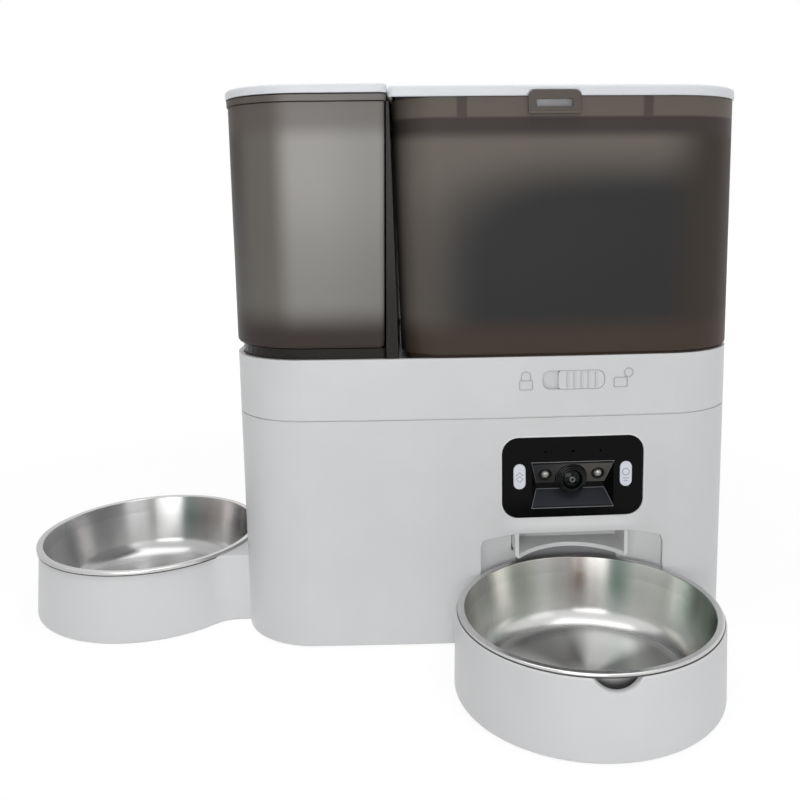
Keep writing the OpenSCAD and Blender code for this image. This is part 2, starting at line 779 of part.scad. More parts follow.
module water_bowl() {
  color("lightgray")
    difference() {
      translate([water_x, 0, 0]) bowl_shape();
      translate([0, 0, pipe_z]) rod_x(5, water_x + 40, water_x + 80);
    }
}

module food_bowl_holder() {
  color("whitesmoke")
    translate([food_x, food_y, 0])
      difference() {
        union() {
          cylinder(r1 = holder_r, r2 = holder_r - 1, h = holder_top, $fn = 144);
          block(-tongue_w / 2, tongue_w / 2, pocket_r - 8, niche_r + 9, tongue_z, tongue_z + tongue_t);
        }
        translate([0, 0, 2.5]) cylinder(r = pocket_r, h = 100, $fn = 144);
        translate([0, 0, holder_top + 5.4]) rod_y(12, -holder_r - 5, -holder_r + 15);
      }
}

module food_bowl() {
  color("lightgray") translate([food_x, food_y, 0]) bowl_shape();
}

module rotor_housing() {
  color("gainsboro")
    difference() {
      union() {
        translate([food_x, rotor_y, 0]) {
          rod_z(chamber_r + 2.5, chamber_z, deck_z + 1);
          rod_z(chamber_r + 6.5, deck_z, deck_z + 1.2);
        }
        block(food_x - 44, food_x + 44, rotor_y - 47, rotor_y, chamber_z, chamber_z + floor_t);
      }
      translate([food_x, rotor_y, 0]) {
        rod_z(chamber_r, chamber_z + floor_t, deck_z + 9);
        rod_z(6, chamber_z - 1, chamber_z + 9);
        intersection() {
          rod_z(chamber_r - 1, chamber_z - 1, chamber_z + 9);
          block(-30, 30, -60, -22, chamber_z - 1, chamber_z + 9);
        }
        for (p = gearbox_fix()) translate([p[0], p[1], 0]) rod_z(1.4, chamber_z - 1, chamber_z + 2.2);
        for (p = chute_fix()) translate([p[0], p[1], 0]) rod_z(1.4, chamber_z - 1, chamber_z + 2.2);
      }
    }
}

// Screw positions from the rotor axis
function gearbox_fix() = [for (x = [-27.5, 27.5]) for (y = [-11, 29]) [x, y]];
function chute_fix() = [for (x = [-38.5, 38.5]) for (y = [-41, -25]) [x, y]];

module rotor_bush() {
  color("goldenrod")
    translate([food_x, rotor_y, 0]) {
      tube_z(6, shaft_r + 0.05, chamber_z - 1, chamber_z + floor_t + 0.4);
      tube_z(8, shaft_r + 0.05, chamber_z - 1.2, chamber_z);
    }
}

module feed_rotor() {
  z0 = chamber_z + floor_t + 0.8;
  z1 = deck_z - 1.5;
  color("lightsteelblue")
    translate([food_x, rotor_y, 0])
      difference() {
        union() {
          rod_z(9, z0, z1);
          translate([0, 0, z1]) cylinder(r1 = 9, r2 = 4, h = 4);
          for (k = [0:vanes - 1]) rotate(360 * k / vanes) block(5, chamber_r - 1.2, -1.3, 1.3, z0, z1);
        }
        rod_z(shaft_r, z0 - 1, z1 - 2);
      }
}

module rotor_shaft() {
  color("silver") translate([food_x, rotor_y, 0]) rod_z(shaft_r, chamber_z - 16, deck_z - 3.5);
}

module rotor_gear() {
  color("ivory")
    translate([food_x, rotor_y, 0])
      difference() {
        union() {
          translate([0, 0, chamber_z - 11])
            linear_extrude(6) polygon(gear_pts(gear_teeth, 0.75 * gear_m, 1.2 * gear_m, 0.2));
          rod_z(5.5, chamber_z - 13, chamber_z - 2.4);
        }
        rod_z(shaft_r, chamber_z - 20, chamber_z);
      }
}

module motor_shaft() {
  color("silver") translate([food_x, pinion_y, 0]) rod_z(1.5, chamber_z - 37, chamber_z - 4.6);
}

module motor_pinion() {
  color("goldenrod")
    translate([food_x, pinion_y, 0])
      difference() {
        translate([0, 0, chamber_z - 11.4])
          linear_extrude(6.6)
            rotate(180 / pinion_teeth) polygon(gear_pts(pinion_teeth, 0.9 * gear_m, 1.15 * gear_m, 0.6));
        rod_z(1.5, chamber_z - 20, chamber_z);
      }
}

module gear_motor() {
  low = chamber_z - 16.5;
  color("gray")
    translate([food_x, pinion_y, 0])
      difference() {
        union() {
          rod_z(12.5, low - 36, low);
          rod_z(4, low - 1, low + 2.2);
        }
        rod_z(1.55, low - 22, low + 5);
        for (s = [-1, 1]) translate([8.5 * s, 0, 0]) rod_z(1.1, low - 8, low + 1);
      }
}

module motor_screws() {
  low = chamber_z - 16.5;
  color("silver")
    for (s = [-1, 1]) translate([food_x + 8.5 * s, pinion_y, 0]) {
      rod_z(2, low + 2.5, low + 4);
      rod_z(1, low - 6, low + 3);
    }
}

module gearbox_cover() {
  low = chamber_z - 16.5;
  front = -18.2;
  back = 35;
  color("gainsboro")
    translate([food_x, rotor_y, 0])
      difference() {
        union() {
          block(-23, 23, front, back, low, chamber_z);
          for (p = gearbox_fix()) translate([p[0], p[1], 0]) rod_z(4.4, chamber_z - 2.5, chamber_z);
          for (p = gearbox_fix())
            block(min(p[0], 20 * sign(p[0])), max(p[0], 20 * sign(p[0])), p[1] - 4.4, p[1] + 4.4,
              chamber_z - 2.5, chamber_z);
        }
        block(-21, 21, front + 2, back - 2, low + 2.5, chamber_z + 1);
        rod_z(shaft_r + 0.05, low - 1, low + 5);
        translate([0, pinion_y - rotor_y, 0]) {
          rod_z(4.1, low - 1, low + 5);
          for (s = [-1, 1]) translate([8.5 * s, 0, 0]) rod_z(1.1, low - 1, low + 5);
        }
        for (p = gearbox_fix()) translate([p[0], p[1], 0]) rod_z(1.5, low, chamber_z + 1);
      }
}

module gearbox_screws() {
  color("silver")
    translate([food_x, rotor_y, 0])
      for (p = gearbox_fix()) translate([p[0], p[1], 0]) {
        rod_z(2.6, chamber_z - 4.3, chamber_z - 2.5);
        rod_z(1.3, chamber_z - 4, chamber_z + 2);
      }
}

module chute() {
  back = rotor_y - 19;
  front = rotor_y - 45.7;
  lip_y = -half_d + 3;
  lip_z = 49;
  color("whitesmoke")
    translate([food_x, 0, 0])
      difference() {
        union() {
          along_x(-33.2, 33.2)
            polygon([[back, chamber_z], [back, chamber_z - 19], [niche_back - 3.5, lip_z + 2.3],
              [lip_y, lip_z], [lip_y, niche_top - 2.8], [niche_back - 5.3, niche_top - 2.8],
              [niche_back - 5.3, niche_top + 2.5], [niche_back - 0.1, niche_top + 5.8],
              [front, chamber_z - 25], [front, chamber_z]]);
          for (p = chute_fix())
            block(min(p[0], 32 * sign(p[0])), max(p[0], 32 * sign(p[0])),
              p[1] + rotor_y - 4.4, p[1] + rotor_y + 4.4, chamber_z - 2.5, chamber_z);
          for (p = chute_fix()) translate([p[0], p[1] + rotor_y, 0]) rod_z(4.4, chamber_z - 2.5, chamber_z);
        }
        along_x(-31, 31)
          polygon([[back - 2.2, chamber_z + 1], [back - 2.2, chamber_z - 19.8],
            [niche_back - 2.7, lip_z + 4.9], [lip_y - 2, lip_z + 2.2], [lip_y - 2, niche_top + 5.8],
            [niche_back - 5.4, niche_top + 5.8], [niche_back - 5.4, niche_top - 1],
            [niche_back + 1.7, niche_top + 3.4], [front + 2.2, chamber_z - 25.7],
            [front + 2.2, chamber_z + 1]]);
        intersection() {
          translate([0, lip_y - 24, lip_z - 1]) cylinder(r = 42, h = 9);
          block(-31, 31, lip_y - 9, lip_y + 30, lip_z - 1, lip_z + 8);
        }
        for (p = chute_fix()) translate([p[0], p[1] + rotor_y, 0]) rod_z(1.5, chamber_z - 9, chamber_z + 1);
      }
}

module chute_screws() {
  color("silver")
    translate([food_x, rotor_y, 0])
      for (p = chute_fix()) translate([p[0], p[1], 0]) {
        rod_z(2.6, chamber_z - 4.3, chamber_z - 2.5);
        rod_z(1.3, chamber_z - 4, chamber_z + 2);
      }
}

module lock_slider() {
  x1 = slot_w / 2 - 0.15;
  x0 = x1 - slider_w;
  color("white")
    face_frame(food_x) {
      along_y(0.4, 5)
        translate([(x0 + x1) / 2, lock_z]) {
          translate([-3, 0]) rounded(slider_w - 6, slot_h - 0.3, 2);
          translate([3, 0]) rounded(slider_w - 6, slot_h - 0.3, 4.4);
        }
      for (i = [0:4])
        translate([x0 + slider_w * (0.2 + 0.154 * i), 0, 0])
          along_y(-0.3, 1) translate([0, lock_z]) rounded(1, slot_h - 1.4, 0.45);
      along_y(wall + 0.9, wall + 2.9)
        translate([(x1 + lock_travel - slot_w / 2 - 1) / 2, lock_z])
          square([slot_w / 2 + x1 + lock_travel + 3, slot_h + 3.4], center = true);
      block(-2, 3, wall + 2, 15.5, lock_z - 2.5, lock_z + 2.5);
      translate([0, 13, lock_z]) rod_x(2.4, -17.5, 1);
    }
}

module camera_panel() {
  nz0 = panel_z - 18.4;
  nz1 = panel_z + 8.8;
  color([0.03, 0.03, 0.035])
    difference() {
      union() {
        intersection() {
          ring_band(panel_z - 40, panel_z + 34, 0.6, 5);
          face_frame(food_x) along_y(-4, 16) translate([0, panel_z]) rounded(panel_w, panel_h, 9.5);
        }
        intersection() {
          ring_band(panel_z - 40, panel_z + 34, wall + 0.05, 5);
          face_frame(food_x) along_y(-4, 16) translate([0, panel_z]) rounded(panel_w + 4, panel_h + 4, 10);
        }
        face_frame(food_x) {
          block(-25.6, 25.6, 3, 11, nz0 - 2, nz1 + 3);
          for (x = [-36, 36]) for (z = [-18, 18]) translate([x, 0, panel_z + z]) rod_y(2.5, 4, 19.5);
        }
      }
      face_frame(food_x) {
        intersection() {
          along_x(-30, 30)
            polygon([[-3, nz1 + 6.6], [0.6, nz1], [8.6, nz0 + 12.6], [8.6, nz0 + 9], [0.6, nz0],
              [-3, nz0 - 4]]);
          translate([0, 0, nz0 - 9])
            linear_extrude(60) polygon([[-25.8, -3], [25.8, -3], [20, 8.7], [-20, 8.7]]);
        }
        for (x = [-16, 0, 16]) translate([x, 0, panel_z + 15]) rod_y(0.7, -3, 9);
        for (s = [-1, 1]) along_y(-3, 9) translate([31 * s, panel_z + 0.8]) pill(key_w + 0.4, key_h + 0.4);
        translate([0, 0, panel_z - 2.2]) rod_y(9.3, -3, 30);
        for (s = [-1, 1]) translate([15.5 * s, 0, panel_z + 0.5]) rod_y(2.9, -3, 30);
      }
    }
}

module camera_barrel() {
  color([0.05, 0.05, 0.055])
    face_frame(food_x)
      translate([0, 0, panel_z - 2.2])
        difference() {
          rod_y(9.2, 1.2, 19.5);
          rod_y(7.6, 0, 2.4);
          rod_y(6, 0, 9);
        }
}

module camera_lens() {
  color([0.1, 0.14, 0.12])
    face_frame(food_x)
      translate([0, 0, panel_z - 2.2])
        intersection() {
          rod_y(6, 3, 9);
          translate([0, 15, 0]) sphere(r = 11.4, $fn = 96);
        }
}

module ir_leds() {
  color([0.2, 0.2, 0.22])
    face_frame(food_x)
      for (s = [-1, 1]) translate([15.5 * s, 0, panel_z + 0.5]) {
        rod_y(2.6, 5, 19.5);
        translate([0, 5, 0]) sphere(r = 2.4, $fn = 32);
      }
}

module camera_board() {
  color("darkgreen")
    face_frame(food_x)
      difference() {
        union() {
          along_y(19.5, 21.1) translate([0, panel_z]) rounded(80, 43, 3);
          for (s = [-1, 1]) translate([31 * s, 0, panel_z + 0.8]) {
            block(-3, 3, 17.2, 19.6, -3, 3);
            rod_y(1.7, 16.6, 18);
          }
        }
      }
}

module pill_key(s) {
  color("white")
    face_frame(food_x)
      translate([31 * s, 0, 0]) {
        along_y(0.45, 8) translate([0, panel_z + 0.8]) pill(key_w, key_h);
        along_y(6.4, 8.4) translate([0, panel_z + 0.8]) pill(key_w + 2, key_h + 2);
        translate([0, 0, panel_z + 0.8]) rod_y(2, 8, 15.4);
      }
}

module button_left() {
  pill_key(-1);
}

module button_right() {
  pill_key(1);
}

module main_board() {
  color("darkgreen") {
    block(-132, -45, 18, 65, 11, 12.6);
    block(-115, -100, 35, 50, 12.6, 14.6);
    block(-95, -85, 25, 32, 12.6, 15);
    block(-62, -50, 22, 30, 12.6, 19);
    translate([-122, 58, 0]) rod_z(4, 12.5, 24);
  }
}

module speaker() {
  color([0.15, 0.15, 0.15])
    translate([-40, -40, 0]) {
      rod_z(18, foot_h + 2.4, foot_h + 7);
      rod_z(11, foot_h + 6, foot_h + 12);
    }
}

module power_inlet() {
  color([0.08, 0.08, 0.08])
    difference() {
      union() {
        block(-76, -64, 60, half_d - wall, 12.6, 24.6);
        translate([-70, 0, 18.6]) rod_y(5, half_d - wall - 1, half_d - 0.2);
      }
      translate([-70, 0, 18.6])
        difference() {
          rod_y(3.1, half_d - 11, half_d + 1);
          rod_y(1, half_d - 13, half_d - 2);
        }
    }
}

placed() base_housing();
placed() bowl_niche();
placed() base_plate();
placed() rubber_feet();
placed() plate_screws();
placed() collar_housing();
placed() collar_screws();
placed() tank_seat();
placed() hopper();
placed() hopper_funnel();
placed() hinge_pins();
placed() lid_latch();
placed() hopper_lid();
placed() lid_seal();
placed() desiccant_box();
placed() desiccant_grille();
placed() water_tank();
placed() tank_lid();
placed() tank_lid_seal();
placed() tank_cap();
placed() cap_gasket();
placed() valve_stem();
placed() valve_spring();
placed() water_receiver();
placed() receiver_seal();
placed() water_pipe();
placed() outlet_seal();
placed() water_bowl_holder();
placed() holder_screws();
placed() water_bowl();
placed() food_bowl_holder();
placed() food_bowl();
placed() rotor_housing();
placed() rotor_bush();
placed() feed_rotor();
placed() rotor_shaft();
placed() rotor_gear();
placed() motor_shaft();
placed() motor_pinion();
placed() gear_motor();
placed() motor_screws();
placed() gearbox_cover();
placed() gearbox_screws();
placed() chute();
placed() chute_screws();
placed() lock_slider();
placed() camera_panel();
placed() camera_barrel();
placed() camera_lens();
placed() ir_leds();
placed() camera_board();
placed() button_left();
placed() button_right();
placed() main_board();
placed() speaker();
placed() power_inlet();
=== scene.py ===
from math import asin, atan2, cos, degrees, pi, radians, sin, sqrt, tan, tau

import bmesh
import bpy
from mathutils import Matrix, Vector


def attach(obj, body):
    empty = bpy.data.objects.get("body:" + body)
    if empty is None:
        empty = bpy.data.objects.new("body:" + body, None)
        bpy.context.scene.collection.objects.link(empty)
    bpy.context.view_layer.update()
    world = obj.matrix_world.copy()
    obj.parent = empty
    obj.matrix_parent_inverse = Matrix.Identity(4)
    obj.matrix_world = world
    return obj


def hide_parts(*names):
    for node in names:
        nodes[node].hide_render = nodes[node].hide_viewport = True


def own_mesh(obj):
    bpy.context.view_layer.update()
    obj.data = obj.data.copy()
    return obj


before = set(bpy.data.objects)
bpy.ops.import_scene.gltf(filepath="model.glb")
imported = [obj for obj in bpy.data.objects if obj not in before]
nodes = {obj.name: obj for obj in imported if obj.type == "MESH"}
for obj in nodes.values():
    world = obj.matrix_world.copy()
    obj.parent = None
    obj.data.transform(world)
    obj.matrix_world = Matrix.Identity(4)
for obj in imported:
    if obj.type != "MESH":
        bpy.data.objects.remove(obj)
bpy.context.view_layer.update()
scene = bpy.context.scene

# Sizes in millimetres, in the housing's own frame, as in the part's source;
# SHIFT leads from there to the frame of the CAD nodes
PER_M = 1000
SHIFT = (71.1, 55.45)
HALF_W, HALF_D, CORNER_R, FRONT_R = 148.0, 85.0, 46.0, 2400.0
BASE_H, COLLAR_TOP, DECK_Z, RIM_Z = 136.4, 171.2, 168.0, 314.3
TANK_Z, TANK_RIM, TANK_X, TANK_R, SPLIT_X = 177.5, 316.7, -101.3, 3.5, 54.6
LID_Z, LID_TOP, LID_T, LID_OVER = 314.5, 320.4, 2.2, 0.8
BIN_WALL, HOPPER_R, HINGE_Y, KNUCKLE_R = 2.4, 27.0, 89.4, 3.2
FOOD_X, FOOD_Y, ROTOR_Y, WATER_X = 47.7, -131.5, 16.0, -219.0
BOWL_R, BOWL_RIM, HOLDER_TOP, POCKET_R = 70.0, 44.5, 42.6, 67.5
HOLDER_R, HOLDER_FLOOR, SHEET, PIPE_Z = 72.0, 2.5, 0.9, 24.0
PANEL_Z, LENS_Z, LOCK_Z = 100.4, 98.2, 157.4
LATCH_X, LATCH_W, LATCH_TOP, LATCH_FOOT = FOOD_X - 12, 28.6, RIM_Z + 3, RIM_Z - 7.7
HINGES = (FOOD_X - 48, FOOD_X + 48)
CHAMBER_Z, NICHE_BACK, NICHE_TOP, LIP_Z = BASE_H + 1.6, FOOD_Y + HOLDER_R + 3, PANEL_Z - 31.2, 50.7
CORNER_Y = FRONT_R - HALF_D - sqrt((FRONT_R - CORNER_R) ** 2 - (HALF_W - CORNER_R) ** 2) - 0.05
CORNER_A = degrees(asin((HALF_W - CORNER_R) / (FRONT_R - CORNER_R)))
FOOD_ROW_X = FOOD_X + SHIFT[0]

# Edges that turn more than this are shaded sharp
SHARP = radians(35)
# Radius of the tiny hole in which a turned profile ends on its axis
POLE = 0.01


def front_y(x):
    """Depth of the bowed front face at x."""
    return FRONT_R - HALF_D - sqrt(FRONT_R ** 2 - x * x)


def world_point(x, y, z):
    return Vector(((x + SHIFT[0]) / PER_M, (y + SHIFT[1]) / PER_M, z / PER_M))


def face_point(x0, u, v, z):
    """Point on the front face at x0: u along the face, v into the housing."""
    a = asin(x0 / FRONT_R)
    return (x0 + u * cos(a) - v * sin(a), front_y(x0) + u * sin(a) + v * cos(a), z)


def on_latch(u, v, z):
    return face_point(LATCH_X, u, v, z)


def on_food(u, v, z):
    return face_point(FOOD_X, u, v, z)


def shifted(x, y=0.0):
    """Places (u, v, z) beside a point of the plan."""
    return lambda u, v, z: (x + u, y + v, z)


def link_object(name, data):
    ob = bpy.data.objects.new(name, data)
    scene.collection.objects.link(ob)
    return ob


def clean_mesh(name, points, faces, merge, shade=False):
    """Mesh with near points merged and faces turned out; shade smooths all but sharp edges."""
    mesh = bpy.data.meshes.new(name)
    mesh.from_pydata(points, [], faces)
    bm = bmesh.new()
    bm.from_mesh(mesh)
    bmesh.ops.remove_doubles(bm, verts=bm.verts, dist=merge)
    bmesh.ops.recalc_face_normals(bm, faces=bm.faces)
    if shade:
        for e in bm.edges:
            e.smooth = len(e.link_faces) == 2 and e.calc_face_angle(0) < SHARP
        for f in bm.faces:
            f.smooth = True
    bm.to_mesh(mesh)
    bm.free()
    return mesh


def make_piece(name, parts, material, body, replaces=(), origin=(0.0, 0.0, 0.0)):
    """Piece from parts; origin is the object's own place, all in millimetres."""
    o = Vector(origin)
    verts, faces = joined(parts)
    mesh = clean_mesh(name, [(Vector(p) - o) / PER_M for p in verts], faces, 1e-7, True)
    piece = link_object(name, mesh)
    piece.location = world_point(*o)
    mesh.materials.append(material)
    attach(piece, body)
    if replaces:
        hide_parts(*replaces)
    return piece


def loft(rings, loop=False):
    """Points and quads through outlines of equal count; with loop the last joins the first."""
    count, faces = len(rings[0]), []
    for k in range(len(rings) if loop else len(rings) - 1):
        a, b = k * count, ((k + 1) % len(rings)) * count
        faces += [(a + i, a + (i + 1) % count, b + (i + 1) % count, b + i) for i in range(count)]
    return [p for r in rings for p in r], faces


def solid(rings):
    """Solid between a first and a last outline, which are filled."""
    points, faces = loft(rings)
    count = len(rings[0])
    return points, faces + [tuple(range(count)), tuple(range(len(points) - count, len(points)))]


def arc(cx, cy, r, a0, a1, n, skip=0):
    """Arc points, angle 0 towards the front, 90 to the right."""
    steps = [a0 + (a1 - a0) * i / n for i in range(skip, n + 1)]
    return [(cx + r * sin(radians(t)), cy - r * cos(radians(t))) for t in steps]


def ring_path(u, z, r, a0=0.0, a1=360.0, n=28):
    """Points of a circle, or of an arc with both its ends."""
    turns = [radians(a0 + (a1 - a0) * i / n) for i in range(n if a1 - a0 >= 360 else n + 1)]
    return [(u + r * cos(t), z + r * sin(t)) for t in turns]


def between(a, b, n):
    """Inner points of a straight line in n steps."""
    return [(a[0] + (b[0] - a[0]) * i / n, a[1] + (b[1] - a[1]) * i / n) for i in range(1, n)]


def bin_outline(xl, d, rc):
    """Outline of a container in the housing plan right of xl, set in by d; rc rounds its left corners."""
    q = max(rc, d + 0.5)
    qy = FRONT_R - HALF_D - sqrt((FRONT_R - q) ** 2 - (xl + q) ** 2)
    qa = degrees(asin((xl + q) / (FRONT_R - q)))
    mid, rear, right, left = HALF_W - CORNER_R, HALF_D - d, HALF_W - d, xl + d
    front_steps, corner_steps, left_steps, side_steps = 24, 18, 12, 10
    return (
        arc(0, FRONT_R - HALF_D, FRONT_R - d, qa, CORNER_A, front_steps)
        + arc(mid, CORNER_Y, CORNER_R - d, CORNER_A, 90, corner_steps, 1)
        + between((right, CORNER_Y), (right, HALF_D - CORNER_R), side_steps)
        + arc(mid, HALF_D - CORNER_R, CORNER_R - d, 90, 180, corner_steps)
        + between((mid, rear), (xl + q, rear), 2 * side_steps)
        + arc(xl + q, HALF_D - q, q - d, 180, 270, left_steps)
        + between((left, HALF_D - q), (left, qy), side_steps)
        + arc(xl + q, qy, q - d, 270, 360 + qa, left_steps)[:-1]
    )


def on_circle(points, c, r):
    """The same points, drawn onto a circle about c."""
    turns = [atan2(y - c[1], x - c[0]) for x, y in points]
    return [(c[0] + r * cos(a), c[1] + r * sin(a)) for a in turns]


def at(points, z):
    return [(x, y, z) for x, y in points]


def joined(parts):
    """One list of points and faces from several."""
    verts, faces = [], []
    for v, f in parts:
        faces += [tuple(i + len(verts) for i in face) for face in f]
        verts += v
    return verts, faces


def mirrored(part):
    return [(-x, y, z) for x, y, z in part[0]], part[1]


def block(corner_at, u0, u1, v0, v1, z0, z1, soft=0.4):
    """Block with softened edges; corner_at turns (u, v, z) into a point."""
    bm = bmesh.new()
    bmesh.ops.create_cube(bm, size=1)
    for p in bm.verts:
        x, y, z = (c + 0.5 for c in p.co)
        p.co = Vector((u0 + (u1 - u0) * x, v0 + (v1 - v0) * y, z0 + (z1 - z0) * z))
    bmesh.ops.bevel(bm, geom=bm.edges[:], offset=soft, segments=2, affect="EDGES", profile=0.5)
    bm.verts.index_update()
    part = [corner_at(*p.co) for p in bm.verts], [tuple(p.index for p in f.verts) for f in bm.faces]
    bm.free()
    return part


def lathe(profile, point_at, segments=128, closed=False):
    """Turns (r, h) points about an axis; point_at(x, y, h) places them."""
    turns = [2 * pi * i / segments for i in range(segments)]
    return loft([[point_at(r * cos(a), r * sin(a), h) for a in turns] for r, h in profile], closed)


def rounded_corner(r0, h0, r1, h1, r2, h2, radius, n):
    """Points that round the corner at (r1, h1) between its two neighbours."""
    a, b, c = Vector((r0, h0)), Vector((r1, h1)), Vector((r2, h2))
    u, w = (a - b).normalized(), (c - b).normalized()
    half = u.angle(w) / 2
    reach = min(radius / tan(half), (a - b).length * 0.49, (c - b).length * 0.49)
    radius = reach * tan(half)
    centre = b + (u + w).normalized() * radius / sin(half)
    s, e = b + u * reach - centre, b + w * reach - centre
    turns = [-s.angle_signed(e) * i / n for i in range(n + 1)]
    return [(centre.x + s.x * cos(t) - s.y * sin(t), centre.y + s.x * sin(t) + s.y * cos(t)) for t in turns]


def softened(points, radii, n=4):
    """Polyline with rounded inner corners; radii has one value per point, 0 for a sharp one."""
    out = [points[0]]
    for i in range(1, len(points) - 1):
        if radii[i] > 0:
            out += rounded_corner(*points[i - 1], *points[i], *points[i + 1], radii[i], n)
        else:
            out.append(points[i])
    return out + [points[-1]]


class Nodes:
    """Short ways to add shader nodes to a tree and join them."""

    def __init__(self, tree):
        self.tree = tree

    def put(self, socket, value):
        """Joins an output to an input, or sets the input to a number or a colour."""
        if isinstance(value, bpy.types.NodeSocket):
            self.tree.links.new(value, socket)
        else:
            socket.default_value = (*value, 1.0) if isinstance(value, tuple) else value

    def node(self, kind, **values):
        """New node; each value goes to the input of that name, with _ for a blank."""
        n = self.tree.nodes.new("ShaderNode" + kind)
        for key, value in values.items():
            self.put(n.inputs[key.replace("_", " ")], value)
        return n

    def object_coords(self):
        return self.node("TexCoord").outputs["Object"]

    def parts(self, vector):
        """The three values of a vector."""
        split = self.node("SeparateXYZ", Vector=vector)
        return [split.outputs[k] for k in "XYZ"]

    def axes(self):
        return self.parts(self.object_coords())

    def facing(self):
        """The three values of a face's normal."""
        return self.parts(self.node("NewGeometry").outputs["True Normal"])

    def noise(self, scale, detail, rough=0.5):
        n = self.node("TexNoise", Vector=self.object_coords(), Scale=scale, Detail=detail, Roughness=rough)
        return n.outputs["Fac"]

    def math(self, op, a, *b):
        m = self.node("Math")
        m.operation = op
        for socket, value in zip(m.inputs, (a, *b)):
            self.put(socket, value)
        return m.outputs["Value"]

    def times(self, a, b):
        return self.math("MULTIPLY", a, b)

    def plus(self, a, b):
        return self.math("ADD", a, b)

    def minus(self, a, b):
        return self.math("SUBTRACT", a, b)

    def span(self, value, lo, hi, to_lo=0.0, to_hi=1.0, kind="SMOOTHSTEP"):
        """Maps a value's range lo to hi onto to_lo to to_hi."""
        m = self.node("MapRange", Value=value, From_Min=lo, From_Max=hi, To_Min=to_lo, To_Max=to_hi)
        m.interpolation_type = kind
        return m.outputs["Result"]

    def hat(self, value, lo, hi, soft):
        """One between lo and hi, falling to nothing over soft on both sides."""
        return self.times(self.span(value, lo - soft, lo), self.span(value, hi + soft, hi))

    def mix(self, factor, a, b, blend="MIX"):
        m = self.node("Mix")
        m.data_type = "RGBA"
        m.blend_type = blend
        m.clamp_factor = True
        for key, value in ((0, factor), (6, a), (7, b)):
            self.put(m.inputs[key], value)
        return m.outputs[2]

    def ramp(self, value, stops, interpolation="LINEAR"):
        r = self.node("ValToRGB", Fac=value)
        r.color_ramp.interpolation = interpolation
        while len(r.color_ramp.elements) < len(stops):
            r.color_ramp.elements.new(0.5)
        for e, (position, color) in zip(r.color_ramp.elements, stops):
            e.position = position
            e.color = (*color, 1.0)
        return r.outputs["Color"]

    def patchy(self, value, low, high):
        """Colour that runs from low to high over the middle of a texture's range."""
        return self.ramp(value, [(0.3, low), (0.7, high)])

    def grained(self, color, value, low):
        """A colour that a texture darkens down to the share low."""
        return self.mix(1.0, color, self.patchy(value, (low, low, low), (1.0, 1.0, 1.0)), "MULTIPLY")


class Shader(Nodes):
    """Nodes of a new material, about its Principled BSDF."""

    def __init__(self, name):
        self.material = bpy.data.materials.new(name)
        self.material.use_nodes = True
        super().__init__(self.material.node_tree)
        self.bsdf = self.tree.nodes["Principled BSDF"]

    def set(self, **values):
        """Feeds inputs of the Principled BSDF, with _ for a blank."""
        for key, value in values.items():
            self.put(self.bsdf.inputs[key.replace("_", " ")], value)

    def rough(self, value, middle, lo=0.3, hi=0.7, swing=0.1):
        """Roughness about a middle value, which a texture swings by a share of it."""
        self.set(Roughness=self.span(value, lo, hi, middle * (1 - swing), middle * (1 + swing)))

    def bump(self, height, strength, distance, edge=0):
        """Fine relief, with edges that look rounded by edge, in metres."""
        b = self.node("Bump", Strength=strength, Distance=distance, Height=height)
        if edge:
            bevel = self.node("Bevel", Radius=edge)
            bevel.samples = 6
            self.put(b.inputs["Normal"], bevel.outputs["Normal"])
        self.set(Normal=b.outputs["Normal"])

    def moulding(self, blotch, color, rough, edge=0.0006, grain=2200.0, depth=0.00006):
        """Finishes a moulded surface: patchy gloss and fine spark-eroded grain."""
        self.set(Base_Color=color)
        self.rough(blotch, rough, 0.25, 0.75)
        self.bump(self.noise(grain, 2.0, 0.6), 0.25, depth, edge)
        return self.material

    def blotches(self):
        return self.noise(28.0, 4.0)


def moulded(name, color, rough, values=None, **finish):
    """Moulded plastic or rubber with slight blotches in its colour."""
    s = Shader(name)
    vary = 0.02
    blotch = s.blotches()
    low = tuple(c * (1 - vary) for c in color)
    high = tuple(min(1.0, c * (1 + vary)) for c in color)
    s.set(**(values or {}))
    return s.moulding(blotch, s.patchy(blotch, low, high), rough, **finish)


def gloss_black():
    """Gloss black; in the sunk camera niche the overhang gets painted light, paler and warmer to the right,
    and the upward ledge a painted bluish reflection.
    """
    s = Shader("gloss_black_panel")
    x, y, _ = s.axes()
    u = s.minus(x, SHIFT[0] / PER_M)
    bulge = s.times(s.times(u, u), PER_M / 2 / FRONT_R)
    depth = s.minus(s.minus(y, bulge), (SHIFT[1] - HALF_D + 0.6) / PER_M)
    sunk = s.span(depth, 0.0004, 0.001)
    lean = s.facing()[2]
    # Painted light on the downward overhang and a painted bluish reflection on the upward ledge
    hang = s.times(sunk, s.span(lean, -0.2, -0.4))
    ledge = s.times(sunk, s.span(lean, 0.3, 0.5))
    dust = s.noise(900.0, 6.0, 0.7)
    face = s.ramp(dust, [(0.35, (0.0022, 0.0022, 0.0024)), (0.75, (0.0042, 0.0042, 0.0046))])
    # The overhang's painted light grows paler and warmer to the right
    rightward = s.span(u, (FOOD_X - 18) / PER_M, (FOOD_X + 16) / PER_M)
    painted_overhang_light = s.mix(rightward, (0.045, 0.046, 0.048), (0.125, 0.12, 0.108))
    tone = s.mix(hang, s.mix(sunk, face, (0.004, 0.004, 0.0045)), painted_overhang_light)
    s.set(Base_Color=s.mix(ledge, tone, (0.024, 0.027, 0.034)), Specular_IOR_Level=0.08,
          Roughness=s.plus(s.span(dust, 0.4, 0.8, 0.12, 0.2), s.times(sunk, 0.2)))
    s.bump(s.noise(60.0, 1.0), 0.04, 0.0002, 0.0004)
    return s.material


